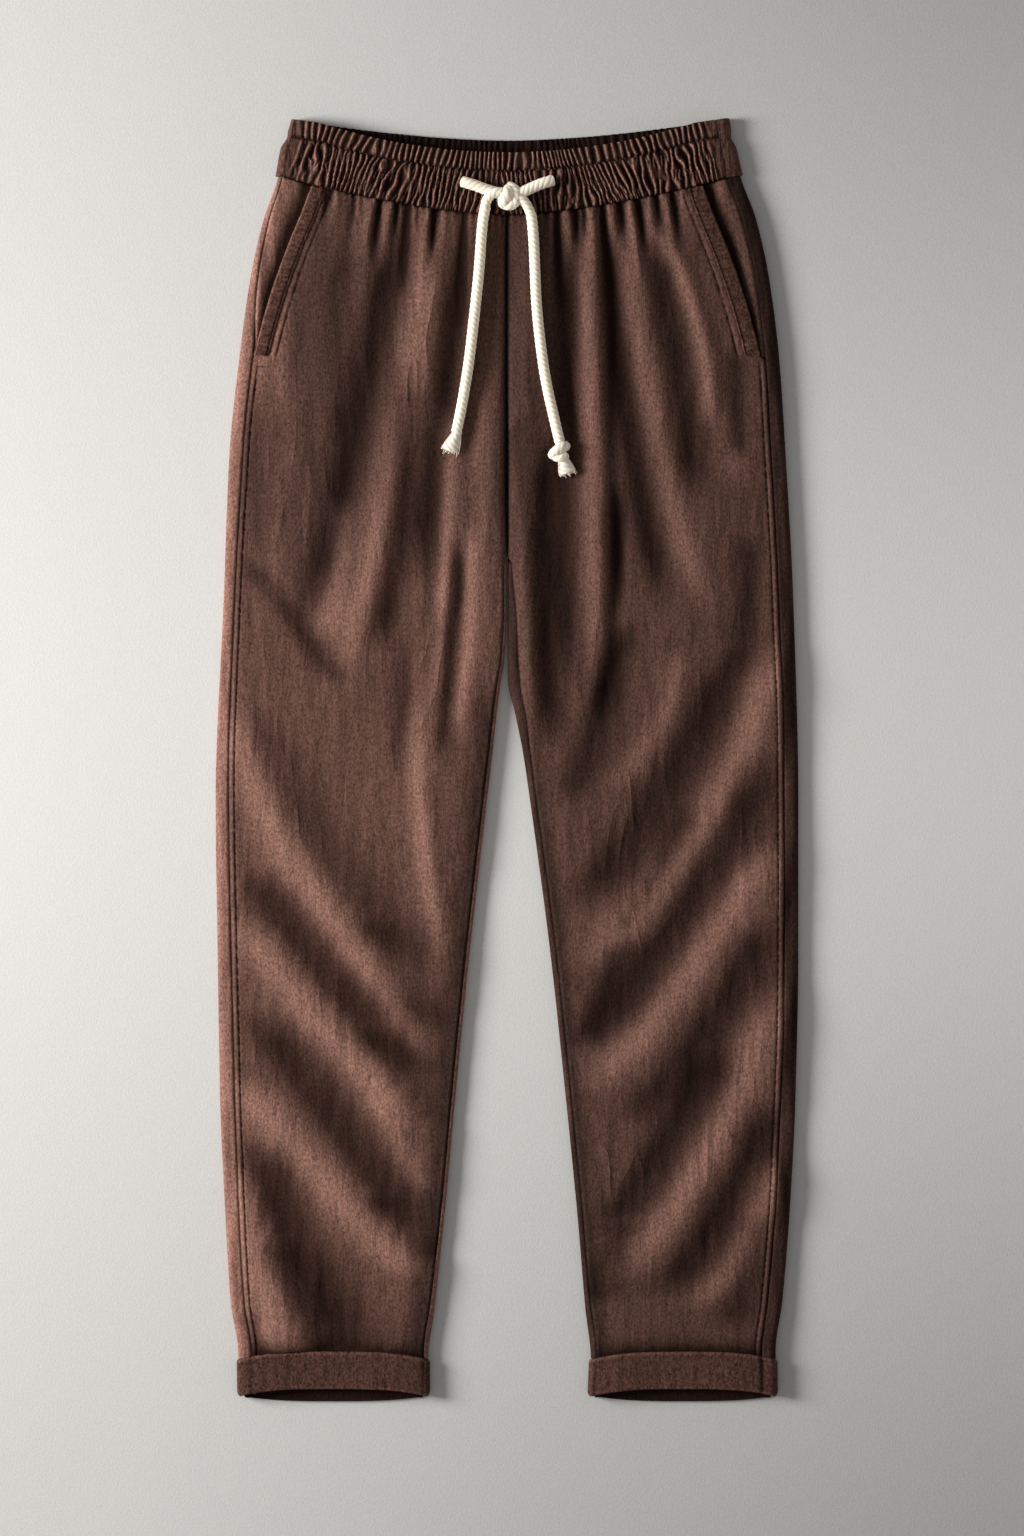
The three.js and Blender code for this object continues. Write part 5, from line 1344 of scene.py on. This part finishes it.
# Stitches
def stitch_mesh(name, lines, material, slot, pitch=3.1, length=2.3, radius=0.26, seed=1):
    """Short threads along lines of (points, normals), sunk a little at both ends."""
    random = np.random.default_rng(seed)
    template, faces = [], []
    stations = [(-0.5, 0.25, -0.22), (-0.3, 0.9, 0.02), (0.3, 0.9, 0.02), (0.5, 0.25, -0.22)]
    for along, size, lift in stations:
        for angle in np.arange(6) * math.pi / 3:
            template.append((along, size * math.cos(angle), size * math.sin(angle), lift))
    template = np.array(template)
    for ring in range(3):
        for k in range(6):
            n = (k + 1) % 6
            faces.append((ring * 6 + k, ring * 6 + n, (ring + 1) * 6 + n, (ring + 1) * 6 + k))
    faces += [(5, 4, 3, 2, 1, 0), (18, 19, 20, 21, 22, 23)]
    points, all_faces = [], []
    for line, normal in lines:
        distance = np.concatenate([[0], np.cumsum(np.linalg.norm(np.diff(line, axis=0),
                                                                 axis=1))])
        for at in np.arange(pitch * 0.6, distance[-1] - pitch * 0.5, pitch):
            at = at + random.uniform(-0.12, 0.12)
            centre, ahead, up = (
                np.array([np.interp(s, distance, values[:, k]) for k in range(3)])
                for s, values in ((at, line), (at + 0.3, line), (at, normal)))
            direction = ahead - centre
            direction /= np.linalg.norm(direction)
            up -= direction * up.dot(direction)
            up /= np.linalg.norm(up)
            across = np.cross(up, direction)
            size = length * random.uniform(0.9, 1.08)
            start = len(points) * 24
            points.append(centre + template[:, :1] * size * direction
                          + template[:, 1:2] * radius * across
                          + (template[:, 2:3] * radius + template[:, 3:4] * 0.8) * up)
            all_faces += [tuple(index + start for index in face) for face in faces]
    points = np.concatenate(points)
    piece = new_object(name, points, all_faces, material,
                       {"rise": np.full(len(points), 0.15)}, None, 80)
    return finish_piece(piece, slot)


def front_line(side, x_of_d, downs, lift):
    d = np.asarray(downs, float)
    return on_front(side, x_of_d(d), d, lift)


for side, side_name in ((-1, "right"), (1, "left")):
    front = front_panel(side, side_name)
    back = back_panel(side, side_name)
    facing = pocket_facing(side, side_name)
    edge = pocket_edge(side, side_name)
    hem = cuff(side, side_name)
    lines = [front_line(side, lambda d: side_seam(side, d) - SIDE_STITCH,
                        np.arange(205, LEG_END, 2), 0.12)]
    stitch_mesh(f"thread_side_{side_name}", lines, thread, "linen_turned", seed=41 + side)
    pocket_lines = []
    for inset, lift in zip(POCKET_STITCHES, (0.95, 0.12)):
        x, d = crossing(side, np.arange(81, 195, 1.5),
                        lambda d: pocket_across(d) - inset / POCKET_LEAN)
        pocket_lines.append(on_front(side, x, d, lift))
    stitch_mesh(f"thread_pocket_{side_name}", pocket_lines, thread, "linen_turned",
                2.9, 2.1, 0.24, 51 + side)
    tack = []
    for offset in (-8.4, -1.4):
        x, d = crossing(side, np.arange(188, 199.5, 0.8), lambda d: pocket_across(d) + offset)
        tack.append(on_front(side, x, d, 1.0 if offset < -5 else 0.9))
    for down in (188.4, 199):
        x = float(pocket_across(down)) + np.arange(-8.8, -0.8, 0.6)
        tack.append(on_front(side, x, np.full_like(x, down), 1.0))
    stitch_mesh(f"thread_tack_{side_name}", tack, thread, "linen_turned",
                1.7, 1.6, 0.3, 71 + side)

band = band_front()
back_band = band_back()

# stitches of the mock fly
fly_d = np.concatenate([np.arange(80, 226, 2), np.arange(226, 250.5, 0.8)])
fly = on_front(1, FLY_LINE(fly_d) - FLY_STITCH, fly_d, 0.12)
stitch_mesh("thread_fly", [fly], thread, "linen_turned", 3.0, 2.2, 0.25, 61)

# Floor and light
FLOOR_COLOR = (0.70, 0.692, 0.675)
FLOOR_HALF = 3000
FLOOR_DOWN = -0.3
KEY_PLACE = (-2.6, 0.3, 1.12)
KEY_TARGET = (-0.05, 0.0, 0)
KEY_SIZE = 1.1
KEY_POWER = 134
KEY_COLOR = (1.0, 0.99, 0.97)
STUDIO_COLOR = (1.0, 0.985, 0.965, 1)
STUDIO_STRENGTH = 0.3


def paper():
    """Pale paper with painted shade: darker away from the middle and to the right, and close to
    the lamp.
    """
    s = Surface("paper_floor")
    at = s.position()
    fleck = s.noise(at, (700, 700, 700), 3.0, 0.6)
    soft = s.noise(at, (60, 60, 60), 3.0, 0.55)
    axes = s.node("ShaderNodeSeparateXYZ", Vector=at).outputs
    off_middle = s.math("ADD", axes["Y"], -0.02)
    squared = s.math("MULTIPLY", off_middle, off_middle)
    away = s.math("DIVIDE", squared, s.math("ADD", squared, 0.35))
    to_right = s.math("MAXIMUM", s.math("ADD", axes["X"], 0.3), 0.0)
    darker = s.math("MAXIMUM", s.math("MULTIPLY_ADD", to_right, -0.66, -0.25), -0.7)
    to_lamp = s.math("MAXIMUM", s.math("MULTIPLY_ADD", axes["X"], -1.0, -0.45), 0.0)
    near_lamp = s.math("MULTIPLY", s.math("MULTIPLY", to_lamp, to_lamp), 3.0)
    # painted shade on the floor: the tone falls away from the middle, to the right and near the
    # lamp
    tone = s.weigh(1.0, (fleck, 0.12), (soft, 0.012), (away, darker))
    tone = s.math("DIVIDE", tone, s.math("ADD", near_lamp, 1.0))
    s.link(s.scaled(FLOOR_COLOR, tone), s.shader.inputs["Base Color"])
    s.set({"Roughness": 0.9, "Specular IOR Level": 0.15})
    s.bump(s.math("MULTIPLY", fleck, 0.08))
    return s.material


corners = [(x * FLOOR_HALF, y * FLOOR_HALF, FLOOR_DOWN)
           for x, y in ((-1, -1), (1, -1), (1, 1), (-1, 1))]
floor = new_object("floor", corners, [[0, 1, 2, 3]], paper())


def area_light(name, location, target, size, power, color):
    data = bpy.data.lights.new(name, "AREA")
    data.shape = "DISK"
    data.size = size
    data.energy = power
    data.color = color
    lamp = bpy.data.objects.new(name, data)
    lamp.location = location
    direction = np.array(target) - np.array(location)
    lamp.rotation_mode = "QUATERNION"
    lamp.rotation_quaternion = Vector(direction).to_track_quat("-Z", "Y")
    scene.collection.objects.link(lamp)


area_light("key", KEY_PLACE, KEY_TARGET, KEY_SIZE, KEY_POWER, KEY_COLOR)
world = bpy.data.worlds.new("studio")
world.use_nodes = True
backdrop = world.node_tree.nodes["Background"].inputs
backdrop["Color"].default_value = STUDIO_COLOR
backdrop["Strength"].default_value = STUDIO_STRENGTH
scene.world = world
scene.view_settings.view_transform = "Standard"
